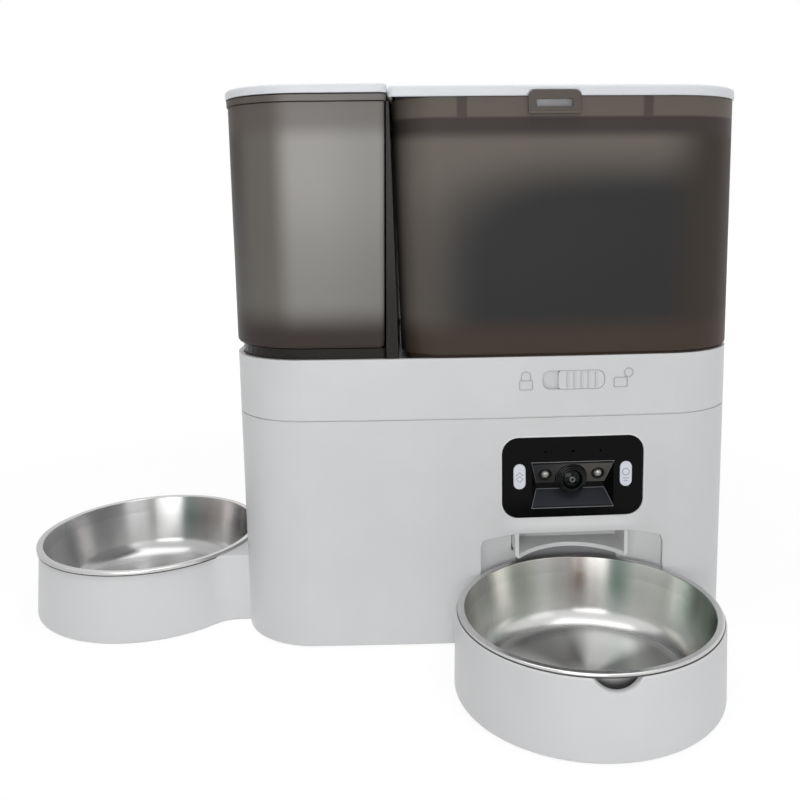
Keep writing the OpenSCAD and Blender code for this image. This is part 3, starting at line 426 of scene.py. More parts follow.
def steel(name, heading, turn, painted_limb_light, wall, floor):
    """Spun stainless about the object's own axis: fine brush lines, with painted reflections that streak down
    the wall and fan out on the floor, a painted highlight at the turn and painted shade under the rim.

    wall and floor hold stops of the painted reflections, in degrees counted to the right from the heading,
    with a colour or one grey.
    turn is the colour of the painted highlight where floor and wall meet; dull takes metal off the left limb
    of the wall so that it shows paler, as painted light."""
    s = Shader(name)
    x, y, z = s.axes()
    a = radians(heading)
    across = s.minus(s.times(x, cos(a)), s.times(y, sin(a)))
    ahead = s.plus(s.times(x, sin(a)), s.times(y, cos(a)))
    turned = s.span(s.math("ARCTAN2", across, ahead), -pi, pi, kind="LINEAR")
    radius = s.math("SQRT", s.plus(s.times(x, x), s.times(y, y)))
    brushed = s.node("TexNoise", Scale=5200.0, Detail=3.0)
    brushed.noise_dimensions = "1D"
    s.put(brushed.inputs["W"], s.plus(radius, s.times(z, 0.8)))
    lines = brushed.outputs["Fac"]
    # Painted reflections, set by angle round the axis, on the wall and on the floor
    painted_wall_reflection, painted_floor_reflection = (s.ramp(turned, [((d + 180) / 360, c * (3 // len(c))) for d, *c in stops], "EASE")
                     for stops in (wall, floor))
    # Painted shade just under the rim and a painted paler lower wall; the hub and the rim's top keep a plain
    # steel tone
    painted_shade_under_rim, painted_light_foot = (0.3, 0.3, 0.3), (0.78, 0.78, 0.77)
    hub, rim_top = (0.62, 0.62, 0.615), (0.6, 0.6, 0.595)
    painted_wall_reflection = s.mix(s.times(s.span(z, 0.0345, 0.036), 0.2), painted_wall_reflection, painted_shade_under_rim)
    painted_wall_reflection = s.mix(s.span(z, 0.032, 0.012, 0.0, 0.5), painted_wall_reflection, painted_light_foot)
    painted_floor_reflection = s.mix(s.span(radius, 0.02, 0.002), painted_floor_reflection, hub)
    # Painted highlight where floor and wall meet
    tone = s.mix(s.span(z, 0.0044, 0.0062), painted_floor_reflection, turn)
    tone = s.mix(s.span(z, 0.0085, 0.015), tone, painted_wall_reflection)
    tone = s.mix(s.span(radius, 0.0662, 0.0667), tone, rim_top)
    s.rough(lines, 0.24)
    s.bump(lines, 0.05, 0.00002)
    tangent = s.node("Tangent")
    tangent.direction_type = "RADIAL"
    tangent.axis = "Z"
    # Less metal on the left limb so that it shows paler, as painted light
    limb = s.times(s.hat(turned, 0.16, 0.28, 0.1), s.span(z, 0.0075, 0.015, 0.0, painted_limb_light))
    metal = s.minus(s.span(z, 0.0046, 0.0075, 0.4, 1.0), limb)
    s.set(Base_Color=s.grained(tone, lines, 0.93), Metallic=metal, Tangent=tangent.outputs["Tangent"],
          Anisotropic=0.7, Anisotropic_Rotation=0.25)
    return s.material


def part_shaded(name, color, other, limits):
    """White plastic with a block of another tone; limits hold (axis, low, high, soft) in millimetres."""
    s = Shader(name)
    place = s.axes()
    inside = 1.0
    for axis, *edges in limits:
        inside = s.times(inside, s.hat(place[axis], *(e / PER_M for e in edges)))
    blotch = s.blotches()
    return s.moulding(blotch, s.grained(s.mix(inside, color, other), blotch, 0.96), 0.36)


def spout_white():
    """White plastic of the spout with painted light and shade: paler than the housing's white, its front
    edges kept bright as a painted highlight, its inside a painted shade greyer.
    """
    s = Shader("spout_plastic_painted_light_shade")
    x, _, z = s.axes()
    away = s.math("ABSOLUTE", s.minus(x, FOOD_X / PER_M))
    lip = s.span(z, (LIP_Z + 4.9) / PER_M, (LIP_Z + 4.4) / PER_M)
    # Painted highlight on the spout's front edges and its lip
    rim = s.math("MAXIMUM", lip, s.span(away, 0.03092, 0.031))
    edge = s.times(s.span(s.facing()[1], -0.2, -0.5), rim)
    inside = s.times(s.span(away, 0.03312, 0.03305), s.minus(1.0, edge))
    blotch = s.blotches()
    # Paler than the housing's white, with a painted shade greyer inside
    tone = s.mix(inside, (0.88, 0.883, 0.89), (0.84, 0.84, 0.845))
    return s.moulding(blotch, s.grained(tone, blotch, 0.96), 0.4, edge=0)


def plain_metal(name, color, rough):
    s = Shader(name)
    n = s.noise(300.0, 5.0, 0.6)
    s.set(Base_Color=s.patchy(n, tuple(c * 0.9 for c in color), color), Metallic=1.0)
    s.rough(n, rough, swing=0.2)
    s.bump(n, 0.1, 0.00005)
    return s.material


def board():
    s = Shader("circuit_board")
    tracks = s.node("TexBrick", Vector=s.object_coords(), Scale=220.0, Color1=(0.02, 0.13, 0.05),
                    Color2=(0.025, 0.16, 0.06), Mortar=(0.05, 0.24, 0.09))
    s.set(Base_Color=tracks.outputs["Color"], Roughness=0.4)
    return s.material


def smoked(name, tone, clear, rough):
    """Frosted smoked plastic; tone gives (s) -> colour socket from object coordinates."""
    s = Shader(name)
    s.set(Base_Color=tone(s), Transmission_Weight=clear, IOR=1.46, Specular_IOR_Level=0.06)
    fine = s.noise(2600.0, 2.0, 0.6)
    s.rough(fine, rough)
    s.bump(fine, 0.15, 0.00005)
    return s.material


def flat_tone(color):
    return lambda s: s.patchy(s.noise(20.0, 3.0), tuple(c * 0.92 for c in color), color)


def layered(s, tone, layers):
    """Colours laid over a tone, each by its share, with slight flow marks."""
    for share, color in layers:
        tone = s.mix(share, tone, color)
    return s.grained(tone, s.noise(14.0, 3.0), 0.95)


def hopper_painted_light_shade(s):
    """Smoke with painted light and shade: a painted dark field, paler at the left and top, and under the lid
    the skirt and its gaps painted on where they would show through.
    """
    x, _, z = s.axes()
    dark_x, dark_z, dark_w, dark_h, square = 0.107, 0.203, 0.146, 0.0765, 4.0
    aside = s.times(s.math("MAXIMUM", s.minus(dark_x, x), 0.0), 1 / dark_w)
    above = s.times(s.math("MAXIMUM", s.minus(z, dark_z), 0.0), 1 / dark_h)
    away = s.math("POWER", s.plus(s.math("POWER", aside, square), s.math("POWER", above, square)), 1 / square)
    skirt = s.span(z, 0.3025, 0.3045)
    gaps = s.plus(s.hat(x, -0.0165, -0.0125, 0.0015), s.hat(x, 0.0858, 0.0898, 0.0015))
    # Painted dark field, paler towards the left and the top where light shows through
    tone = s.mix(s.span(away, 0.74, 1.16), (0.047, 0.047, 0.048), (0.205, 0.18, 0.156))
    # Painted brown right side, a painted highlight streak and a painted dark edge at the right corner,
    # painted bands at the foot and under the lid, and the skirt with its gaps painted on
    return layered(s, tone, (
        (s.span(x, 0.092, 0.128), (0.067, 0.055, 0.045)),
        (s.hat(x, 0.133, 0.136, 0.008), (0.064, 0.05, 0.041)),
        (s.span(x, 0.136, 0.143), (0.022, 0.013, 0.008)),
        (s.span(z, 0.198, 0.18), (0.086, 0.063, 0.049)),
        (s.span(z, 0.2895, 0.2975), (0.077, 0.063, 0.06)),
        (skirt, (0.182, 0.157, 0.134)),
        (s.times(s.times(skirt, gaps), 0.6), (0.06, 0.05, 0.046))))


def tank_painted_light_shade(s):
    """Thinner smoke with painted light and shade: painted dark round the left corner and at the foot, painted
    light across the flat front, darker towards the bottom and in a band under the lid.
    """
    x, _, z = s.axes()
    # Painted dark round the left corner, painted light across the front
    tone = s.mix(s.span(x, -0.145, -0.13), (0.056, 0.051, 0.047), (0.205, 0.19, 0.173))
    # Painted light across the front, darker towards the bottom, a painted darker band under the lid and
    # painted shade at the foot
    return layered(s, tone, (
        (s.span(x, -0.121, -0.106), (0.51, 0.492, 0.468)),
        (s.times(s.span(x, -0.095, -0.062), 0.5), (0.35, 0.34, 0.32)),
        (s.times(s.span(z, 0.285, 0.2), 0.5), (0.22, 0.21, 0.19)),
        (s.times(s.span(z, 0.29, 0.303), 0.55), (0.15, 0.125, 0.114)),
        (s.span(z, 0.205, 0.184), (0.07, 0.056, 0.053))))


# The lids' bluish white is paler than the plain white: partly their own tint, partly painted light on their
# tops
PLAIN_WHITE, LID_WHITE_WITH_PAINTED_LIGHT = (0.8, 0.803, 0.81), (0.88, 0.9, 0.93)
WHITE = moulded("white_satin_plastic", PLAIN_WHITE, 0.36)
LID_WHITE = moulded("lid_white_plastic", LID_WHITE_WITH_PAINTED_LIGHT, 0.33)
GREY = moulded("inner_grey_plastic", (0.55, 0.55, 0.55), 0.5)
RUBBER = moulded("grey_rubber", (0.12, 0.12, 0.12), 0.75, grain=900.0, depth=0.0001)
GEAR = moulded("gear_plastic", (0.82, 0.79, 0.7), 0.45)
BLACK_PLASTIC = moulded("black_plastic", (0.03, 0.03, 0.03), 0.45)
KEY_WHITE = moulded("key_white_plastic", (0.86, 0.885, 0.96), 0.35)
# Grey for painted shade of raised marks and ribs on the white housing
RELIEF_SHADE = moulded("relief_painted_shade", (0.5, 0.5, 0.52), 0.4, edge=0)
# Painted highlight on the raised edge round the camera panel
BEZEL_PAINTED_HIGHLIGHT = moulded("bezel_painted_highlight", (0.93, 0.935, 0.94), 0.25, edge=0)
# Painted highlight lines on the camera niche's edges
NICHE_EDGE_HIGHLIGHT = moulded("niche_edge_painted_highlight", (0.17, 0.175, 0.185), 0.25, edge=0)
SYMBOL = moulded("key_symbol_print", (0.36, 0.37, 0.45), 0.5, edge=0)
RIM_SHADOW = moulded("painted_rim_shadow", (0.045, 0.04, 0.037), 0.6, edge=0)
SMOKE_HOPPER = smoked("smoked_hopper", hopper_painted_light_shade, 0.12, 0.42)
SMOKE_TANK = smoked("smoked_tank", tank_painted_light_shade, 0.12, 0.42)
SMOKE_INNER = smoked("smoked_inner", flat_tone((0.1, 0.09, 0.08)), 0.3, 0.36)
SMOKE_LATCH = smoked("smoked_latch", flat_tone((0.155, 0.136, 0.118)), 0.1, 0.36)
SMOKE_SHADE_LINE = smoked("smoked_shade_line", flat_tone((0.022, 0.017, 0.015)), 0.02, 0.4)
SMOKE_DARK = smoked("smoked_dark", flat_tone((0.035, 0.03, 0.028)), 0.15, 0.22)
BLACK_GLOSS = gloss_black()
# Painted light and shade in the niche: paler than the plain white, with a painted shade under the chute
NICHE_PAINTED_LIGHT_SHADE = part_shaded("niche_plastic_painted_light_shade", (0.94, 0.943, 0.95), (0.4, 0.4, 0.41), (
    (0, FOOD_ROW_X - 30, FOOD_ROW_X + 30, 1.5), (2, 0.0, 51.5, 2.5)))
# Painted light: a paler strip on the front under the camera panel
BASE_WHITE_PAINTED_LIGHT = part_shaded("base_plastic_painted_light", PLAIN_WHITE, (0.95, 0.953, 0.96), (
    (0, FOOD_ROW_X - 26, FOOD_ROW_X + 26, 20), (1, -60, 0.0, 10), (2, 72.5, 77, 5)))
# Grey catch under the lid, behind the latch's window
CAUGHT_WHITE = part_shaded("lid_and_catch_plastic", LID_WHITE_WITH_PAINTED_LIGHT, (0.36, 0.36, 0.37), (
    (0, LATCH_X - 11.5, LATCH_X + 11.5, 0.1), (1, -85.5, -80.5, 0.1), (2, 300, LID_Z - 0.3, 0.1)))
SPOUT_PAINTED_LIGHT_SHADE = spout_white()
BARREL = moulded("lens_barrel_black", (0.005, 0.005, 0.006), 0.16, {"Specular_IOR_Level": 0.2}, edge=0)
LENS = moulded("lens_glass", (0.003, 0.005, 0.005), 0.06, {"Specular_IOR_Level": 0.15}, depth=0.00001, edge=0)
PUPIL = moulded("lens_pupil", (0.13, 0.14, 0.14), 0.3, edge=0)
LED = moulded("led_dome", (0.5, 0.49, 0.46), 0.12, {"Metallic": 0.4}, edge=0)
# Food bowl: painted highlight at the turn, 0.5 of painted light on the left limb, then stops of painted
# reflection for wall and floor
FOOD_STEEL = steel("spun_stainless_food", 11.6, (0.66, 0.66, 0.655), 0.5, [
    (-180, 0.6, 0.6, 0.59), (-95, 0.56, 0.555, 0.54), (-68, 0.56, 0.55, 0.525), (-50, 0.6, 0.56, 0.52),
    (-38, 0.5, 0.49, 0.44), (-24, 0.64, 0.63, 0.61), (-14, 0.54, 0.52, 0.49), (-5, 0.14, 0.115, 0.1),
    (2, 0.38, 0.365, 0.345), (7, 0.42, 0.42, 0.4), (15, 0.22, 0.3, 0.26), (27, 0.66, 0.68, 0.64),
    (41, 0.7, 0.72, 0.69), (54, 0.46, 0.535, 0.49), (75, 0.34, 0.41, 0.375), (180, 0.6, 0.6, 0.59)], [
    (-180, 0.7, 0.7, 0.695), (-100, 0.6, 0.6, 0.595), (-75, 0.6, 0.6, 0.595), (-48, 0.22), (-18, 0.24),
    (6, 1.0, 1.0, 0.995), (26, 1.0, 1.0, 0.995), (50, 0.32, 0.32, 0.315), (70, 0.34, 0.34, 0.335),
    (100, 0.6, 0.6, 0.595), (180, 0.7, 0.7, 0.695)])
# Water bowl: painted highlight at the turn, 0.9 of painted light on the left limb, then stops of painted
# reflection for wall and floor
WATER_STEEL = steel("spun_stainless_water", -16.8, (0.44, 0.44, 0.44), 0.9, [
    (-180, 0.6, 0.6, 0.59), (-95, 0.58, 0.585, 0.59), (-60, 0.6, 0.6, 0.605), (-34, 0.7, 0.7, 0.705),
    (-18, 0.7), (-6, 0.72), (4, 0.3, 0.3, 0.295), (14, 0.46, 0.46, 0.455), (25, 0.22, 0.26, 0.245),
    (36, 0.32, 0.305, 0.295), (48, 0.42, 0.39, 0.375), (62, 0.26, 0.25, 0.245), (85, 0.18),
    (180, 0.6, 0.6, 0.59)], [
    (-180, 0.5), (-70, 0.36), (-20, 0.52), (10, 0.36), (35, 0.54, 0.54, 0.535), (80, 0.36), (180, 0.5)])
HARDWARE = plain_metal("screw_steel", (0.55, 0.55, 0.56), 0.3)
BRASS = plain_metal("brass", (0.72, 0.52, 0.22), 0.3)
BOARD = board()

LOOKS = {
    BASE_WHITE_PAINTED_LIGHT: "base_housing",
    WHITE: "collar_housing water_bowl_holder food_bowl_holder chute lock_slider valve_stem",
    NICHE_PAINTED_LIGHT_SHADE: "bowl_niche",
    LID_WHITE: "hopper_lid tank_lid",
    GREY: "base_plate rotor_housing gearbox_cover desiccant_box desiccant_grille tank_cap water_receiver "
          "water_pipe feed_rotor",
    SMOKE_INNER: "hopper hopper_funnel water_tank",
    SMOKE_LATCH: "lid_latch",
    SMOKE_DARK: "tank_seat",
    FOOD_STEEL: "food_bowl",
    WATER_STEEL: "water_bowl",
    BLACK_GLOSS: "camera_panel camera_barrel",
    LED: "ir_leds",
    BLACK_PLASTIC: "camera_lens speaker power_inlet",
    KEY_WHITE: "button_left button_right",
    RUBBER: "rubber_feet lid_seal tank_lid_seal cap_gasket receiver_seal outlet_seal",
    HARDWARE: "plate_screws collar_screws holder_screws gearbox_screws motor_screws chute_screws hinge_pins "
              "rotor_shaft motor_shaft valve_spring gear_motor",
    BRASS: "rotor_bush motor_pinion",
    GEAR: "rotor_gear",
    BOARD: "camera_board main_board",
}
for material, names in LOOKS.items():
    for n in names.split():
        nodes[n].data.materials.clear()
        nodes[n].data.materials.append(material)


def carve(part, cutters):
    """Cuts solid parts out of a solid part with an exact boolean."""
    work, *tools = [link_object("carved", clean_mesh("carved", *p, 1e-5)) for p in [part] + cutters]
    for t in tools:
        m = work.modifiers.new("cut", "BOOLEAN")
        m.operation, m.solver, m.object = "DIFFERENCE", "EXACT", t
    bpy.context.view_layer.update()
    done = bpy.data.meshes.new_from_object(work.evaluated_get(bpy.context.evaluated_depsgraph_get()))
    result = [tuple(v.co) for v in done.vertices], [tuple(p.vertices) for p in done.polygons]
    for ob in [work] + tools:
        mesh = ob.data
        bpy.data.objects.remove(ob)
        bpy.data.meshes.remove(mesh)
    bpy.data.meshes.remove(done)
    return result


def wall_rings(profile, outline):
    """Outlines for a profile of (inset, height) points."""
    return [at(outline(d, z), z) for d, z in profile]


def hopper_left(z):
    """Left side of the hopper, which leans a little outwards to its rim."""
    return -SPLIT_X + 4.8 - 3.4 * (z - COLLAR_TOP) / (RIM_Z - COLLAR_TOP)


def tank_right(z):
    """Mirrored right side of the tank, which leans a little outwards to its rim."""
    return SPLIT_X + 4.5 - 3 * (z - TANK_Z) / (TANK_RIM - TANK_Z)


def arch_outline(width, z0, z1, r):
    """Upright (u, z) outline, square below and rounded by r at the top corners."""
    turns = [radians(90 * i / 8) for i in range(9)]
    left = [(-width / 2 + r - r * cos(t), z1 - r + r * sin(t)) for t in turns]
    return [(-width / 2, z0)] + left + [(-u, z) for u, z in reversed(left)] + [(width / 2, z0)]


def slab(outline, v0, v1, place):
    """Solid from a (u, z) outline between two depths."""
    return solid([[place(u, v, z) for u, z in outline] for v in (v0, v1)])


def strip(a0, a1, z0, z1):
    """Corners of a rectangle, from a0 to a1 across and from z0 to z1 in height."""
    return [(a0, z0), (a1, z0), (a1, z1), (a0, z1)]


def band(a0, a1, z0, z1):
    """The same corners, taken the other way round."""
    return [(a0, z0), (a0, z1), (a1, z1), (a1, z0)]


def hinge_ear(x, half, z0, z1):
    """Block at the rear with its hinge barrel, which lies along X."""
    bore = 1.5
    ring = band(KNUCKLE_R, bore, -half, half)
    barrel = lathe(ring, lambda a, b, h: (x + h, HINGE_Y + a, RIM_Z + b), 40, True)
    return [block(shifted(x), -half, half, HALF_D - 1, HINGE_Y - 1, z0, z1), barrel]


def hopper_piece():
    """Hopper wall with the catch's notch, the latch's foot, the locked tongue and its hinge ears."""
    seam, foot, plug_in, plug_out = 240, COLLAR_TOP + 1.4, 5.8, 3.4
    profile = softened(
        [(0, seam), (0, RIM_Z), (BIN_WALL, RIM_Z), (BIN_WALL, foot + 3), (plug_in, foot + 3),
         (plug_in, DECK_Z), (plug_out, DECK_Z), (plug_out, foot), (0, foot), (0, seam)],
        [0, 0.5, 0.5, 1, 0.6, 0.4, 0.4, 0.6, 1.4, 0])[:-1]
    wall = loft(wall_rings(profile, lambda d, z: bin_outline(hopper_left(z), d, HOPPER_R)), True)
    wall = carve(wall, [block(on_latch, -12, 12, -3, 4.5, RIM_Z - 6.4, RIM_Z + 2, 0.3)])
    half, bolt_r, bolt_v, tongue, tongue_top = LATCH_W / 2, 3.4, 13, (-25.7, -19.7), COLLAR_TOP + 4.4
    bolt = slab(ring_path(0, LOCK_Z, bolt_r, n=32), -30, -15, lambda u, v, z: on_food(v, bolt_v + u, z))
    parts = [wall, block(on_latch, -half, half, -2.2, 0.6, LATCH_FOOT - 1.7, LATCH_FOOT - 0.4, 0.3),
             block(on_food, *tongue, 4.6, 18, DECK_Z + 0.4, tongue_top),
             carve(block(on_food, *tongue, 8, 18, LOCK_Z - 7, tongue_top), [bolt])]
    for x in HINGES:
        parts += hinge_ear(x, 5, RIM_Z - 9, RIM_Z)
    make_piece("hopper_shell", parts, SMOKE_HOPPER, "hopper", ["hopper"])


def lid_edge(reach, over, inset, low, top):
    """Profile of a lid's plate with its rolled edge, which laps over by over."""
    under = top - LID_T
    return softened([(reach, top), (-over, top), (-over, low), (inset, low), (inset, under), (reach, under)],
                    [0, 1.6, 0.4, 0.3, 0.6, 0])


def hopper_lid_piece():
    """Lid plate with the latch's window, its skirt with two gaps, the catch and its hinge ears."""
    edge = lid_edge(20, LID_OVER, 1.4, LID_Z, LID_TOP)
    edge = wall_rings(edge, lambda d, _: bin_outline(-SPLIT_X + 1, d, 3))
    window = slab(arch_outline(LATCH_W + 1.2, LID_Z - 9, LATCH_TOP + 0.5, 3.7), -5, 0.3, on_latch)
    plate = carve(solid(edge), [window])
    under = LID_TOP - 2
    skirt = wall_rings(band(4.6, 6.2, under, RIM_Z - 10.8),
                       lambda d, _: bin_outline(hopper_left(RIM_Z), d, HOPPER_R))
    notches = [block(shifted(x), -1.5, 1.5, -HALF_D, -HALF_D + 16, RIM_Z - 12, RIM_Z - 1, 0.2)
               for x in (FOOD_X - 62, FOOD_X + 40)]
    parts = [plate, carve(loft(skirt, True), notches),
             block(on_latch, -10.5, 10.5, 0.3, 1.5, RIM_Z - 5.8, under, 0.3)]
    for x in [h + 10 * s for h in HINGES for s in (-1, 1)]:
        parts += hinge_ear(x, 4, LID_Z, LID_TOP - 0.6)
    make_piece("hopper_lid_shell", parts, CAUGHT_WHITE, "hopper_lid", ["hopper_lid"])


def tank_piece():
    """Tank wall drawn into its neck, a bar across the neck, and two thin dark strips at the lip as painted
    shade lines, under the lip's step and under the lid.
    """
    axis = (-TANK_X, 0)
    floor_z, lip_z, lip = TANK_Z + BIN_WALL, TANK_RIM - 3.9, -0.7
    bore_r, neck_r, neck_z = 16.5, 19, TANK_Z - 23

    def outline(d, z):
        return bin_outline(tank_right(z), d, TANK_R)

    outer = softened(
        [(12, TANK_Z), (0, TANK_Z), (0, lip_z), (lip, lip_z), (lip, TANK_RIM), (BIN_WALL, TANK_RIM),
         (BIN_WALL, floor_z), (12, floor_z)], [0, 2.6, 0, 0.3, 0.4, 0.4, 2.0, 0])
    neck = [(bore_r, floor_z), (bore_r, neck_z), (neck_r, neck_z), (neck_r, TANK_Z)]
    base = outline(0, TANK_Z)
    rings = wall_rings(outer, outline) + [at(on_circle(base, axis, r), z) for r, z in neck]
    bar = block(shifted(axis[0]), -16.6, 16.6, -4.5, 4.5, TANK_Z - 5.5, TANK_Z - 2.5)
    part = mirrored(joined([loft(rings, True), bar]))
    # Painted shade lines under the lip's step and under the lid
    lines = (strip(0.4, -0.15, TANK_RIM - 4.5, TANK_RIM - 3.95),
             strip(-0.2, -0.8, TANK_RIM - 0.5, TANK_RIM - 0.05))
    dark = mirrored(joined([loft(wall_rings(p, outline), True) for p in lines]))
    make_piece("tank_lip_shade_lines", [dark], SMOKE_SHADE_LINE, "water_tank")
    make_piece("water_tank_shell", [part], SMOKE_TANK, "water_tank", ["water_tank"])


def tank_lid_piece():
    """Lift-off lid with its rolled edge and its skirt."""
    def outline(d, _):
        return bin_outline(tank_right(TANK_RIM), d, TANK_R)

    top = TANK_RIM + LID_TOP - LID_Z - 0.8
    edge = wall_rings(lid_edge(16, 1.2, 1, TANK_RIM + 0.2, top), outline)
    skirt = wall_rings(band(3.2, 4.8, top - 1.2, TANK_RIM - 8), outline)
    part = mirrored(joined([solid(edge), loft(skirt, True)]))
    make_piece("tank_lid_shell", [part], LID_WHITE, "tank_lid", ["tank_lid"])


def bowl_profile():
    """Inside from the middle out, over the rolled rim, and back under the sheet."""
    w, low, floor_z, turn = BOWL_R - 3.9, 58.5, 4.2, 14.0
    rim, sheet_r, sheet_z = BOWL_RIM, BOWL_R - SHEET, BOWL_RIM - SHEET
    inside = softened(
        [(POLE, floor_z), (low, floor_z), (w, rim - 0.2), (w + 1.2, rim - 0.2), (BOWL_R, rim),
         (BOWL_R, HOLDER_TOP)], [0, turn, 1.0, 0.4, 0.9, 0], 10)
    under = softened(
        [(sheet_r, HOLDER_TOP), (sheet_r, sheet_z), (w + 0.9, sheet_z), (low + SHEET, floor_z - SHEET),
         (POLE, floor_z - SHEET)], [0, 0.5, 0.8, turn + SHEET, 0], 10)
    return inside + under


def bowl_piece(name, node, centre, material, hole=False):
    """Steel bowl with its origin on its axis; hole drills its wall for the water pipe."""
    part = lathe(bowl_profile(), shifted(*centre), 160)
    if hole:
        drill_r, near, far = 5, 40, 80
        drill = lathe([(POLE, near), (drill_r, near), (drill_r, far), (POLE, far)],
                      lambda a, b, h: (centre[0] + h, a, PIPE_Z + b), 48)
        part = carve(part, [drill])
    make_piece(name, [part], material, node, [node], (*centre, 0))


def food_holder_piece():
    """Round tray with a slight draft, a rolled lip and a finger notch in front."""
    notch_r, notch_up, beyond = 13, 6.2, 99

    def column(a):
        """Wall profile at an angle from the front, lower in the notch."""
        aside = HOLDER_R * sin(a) if cos(a) > 0 else beyond
        sink = sqrt(max(notch_r ** 2 - aside * aside, 1)) - notch_up
        notch = max(0, (sink + sqrt(sink * sink + 1)) / 2 - 0.045)
        top = HOLDER_TOP - notch
        ring = softened(
            [(POLE, 0), (HOLDER_R, 0), (HOLDER_R - 1, top), (POCKET_R, top), (POCKET_R, HOLDER_FLOOR),
             (POLE, HOLDER_FLOOR)], [0, 3.0, 1.1 + 0.45 * notch, 0.3, 2.0, 0], 6)
        return [(FOOD_X + r * sin(a), FOOD_Y - r * cos(a), z) for r, z in ring]

    fine, coarse = [0.4 * i for i in range(-45, 45)], [18 + 2 * i for i in range(162)]
    columns = [column(radians(t)) for t in fine + coarse]
    shell = loft([[c[k] for c in columns] for k in range(len(columns[0]))])
    tongue = block(shifted(FOOD_X, FOOD_Y), -20, 20, POCKET_R + 1, HOLDER_R + 12, 5, 11, 0.6)
    parts = [shell, tongue]
    make_piece("food_holder_shell", parts, WHITE, "food_tray", ["food_bowl_holder"])


def water_holder_piece():
    """Round tray with more draft, run into the housing by a filleted neck."""
    neck, fillet, end, pole = 45.0, 18.0, -HALF_W - WATER_X + 1.0, 0.02

    def outline(r, grow):
        r, n, q = r + grow, neck + grow, fillet - grow
        cx = sqrt((r + q) ** 2 - (n + q) ** 2)
        lean = atan2(n + q, cx)
        round_turns = [pi - (pi - lean) * i / 60 for i in range(60)]
        fillet_turns = [(pi + lean) + (pi / 2 - lean) * i / 16 for i in range(17)]
        half = [(r * cos(t), r * sin(t)) for t in round_turns]
        half += [(cx + q * cos(t), n + q + q * sin(t)) for t in fillet_turns]
        half += [(cx + (end - cx) * i / 6, n) for i in range(1, 7)]
        side = [(end, n - 2 * n * i / 8) for i in range(1, 8)]
        return [(WATER_X + x, y) for x, y in half + side + [(x, -y) for x, y in reversed(half[1:])]]

    slim = 3.4 / HOLDER_TOP
    profile = softened([(6, 0), (0, 0), (0, HOLDER_TOP), (6, HOLDER_TOP)], [0, 2.2, 0.8, 0], 6)[1:-1]
    rings = [at(outline(HOLDER_R - slim * z, -d), z) for d, z in profile]
    base = outline(HOLDER_R, 0)
    inner = [(POCKET_R, HOLDER_TOP), (POCKET_R, 4.0), (POCKET_R - 1.5, HOLDER_FLOOR), (pole, HOLDER_FLOOR)]
    low, *pocket = [at(on_circle(base, (WATER_X, 0), r), z) for r, z in [(pole, 0)] + inner]
    part = loft([low] + rings + pocket)
    make_piece("water_holder_shell", [part], WHITE, "base", ["water_bowl_holder"])


def chute_piece():
    """Spout over the food bowl: side cheeks with rounded feet and a floor scooped back between them."""
    def along(points, half):
        return solid([[(FOOD_X + u, y, z) for y, z in points] for u in (-half, half)])

    back, front, lip_y = ROTOR_Y - 19, ROTOR_Y - 45.7, -HALF_D + 3
    half, inner, wall = 33.2, 31.0, 2.2
    shell = along(
        [(back, CHAMBER_Z), (back, CHAMBER_Z - 19), (NICHE_BACK - 3.5, LIP_Z + 2.3), (lip_y, LIP_Z),
         (lip_y, NICHE_TOP - 2.8), (NICHE_BACK - 5.3, NICHE_TOP - 2.8), (NICHE_BACK - 5.3, NICHE_TOP + 2.5),
         (NICHE_BACK - 0.1, NICHE_TOP + 5.8), (front, CHAMBER_Z - 25), (front, CHAMBER_Z)], half)
    way = along(
        [(back - wall, CHAMBER_Z + 1), (back - wall, CHAMBER_Z - 19.8), (NICHE_BACK - 2.7, LIP_Z + 4.9),
         (lip_y - 2, LIP_Z + 2.2), (lip_y - 2, NICHE_TOP + 5.8), (NICHE_BACK - 5.4, NICHE_TOP + 5.8),
         (NICHE_BACK - 5.4, NICHE_TOP - 1), (NICHE_BACK + 1.7, NICHE_TOP + 3.4),
         (front + wall, CHAMBER_Z - 25.7), (front + wall, CHAMBER_Z + 1)], inner)
    scoop_r, scoop_back, start = 41.3, 27.3, lip_y - 3
    turns = [radians(t) for t in range(-50, 51, 2)]
    curve = [(scoop_r * sin(t), lip_y - scoop_back + scoop_r * cos(t)) for t in turns]
    curve = [(max(-inner, min(inner, u)), y) for u, y in curve if y > start]
    curve = [(-inner, start)] + curve + [(inner, start)]
    scoop = solid([[(FOOD_X + u, y, z) for u, y in curve] for z in (LIP_Z - 1, LIP_Z + 8)])
    foot_u, foot_r, outside, under = 30.0, 3.4, 35, LIP_Z - 1
    turns = [radians(t) for t in range(0, 91, 10)]
    curve = [(foot_u + foot_r * sin(t), LIP_Z + foot_r - foot_r * cos(t)) for t in turns]
    outline = [(foot_u, under)] + curve + [(outside, LIP_Z + foot_r), (outside, under)]
    feet = [solid([[(FOOD_X + k * u, y, z) for u, z in outline] for y in (lip_y - 1, lip_y + 14)])
            for k in (-1, 1)]
    parts = [carve(shell, [way, scoop] + feet)]
    for k in (-1, 1):
        for y in (ROTOR_Y - 41, ROTOR_Y - 25):
            lug = (*sorted((k * 32.2, k * 40)), y - 4.4, y + 4.4, CHAMBER_Z - 2.5, CHAMBER_Z)
            parts.append(block(shifted(FOOD_X), *lug))
    make_piece("chute_spout", parts, SPOUT_PAINTED_LIGHT_SHADE, "base", ["chute"])


def niche_trims():
    """Fills the housing's edge beside the tray, flush with the front."""
    def place(u, v, z):
        return FOOD_X + u, front_y(FOOD_X + u) + v, z

    parts = [block(place, *sorted((k * 53.9, k * 56.8)), 0, 2.4, 41.9, 44.8, 0.05) for k in (-1, 1)]
    make_piece("niche_edge_trim", parts, WHITE, "base")


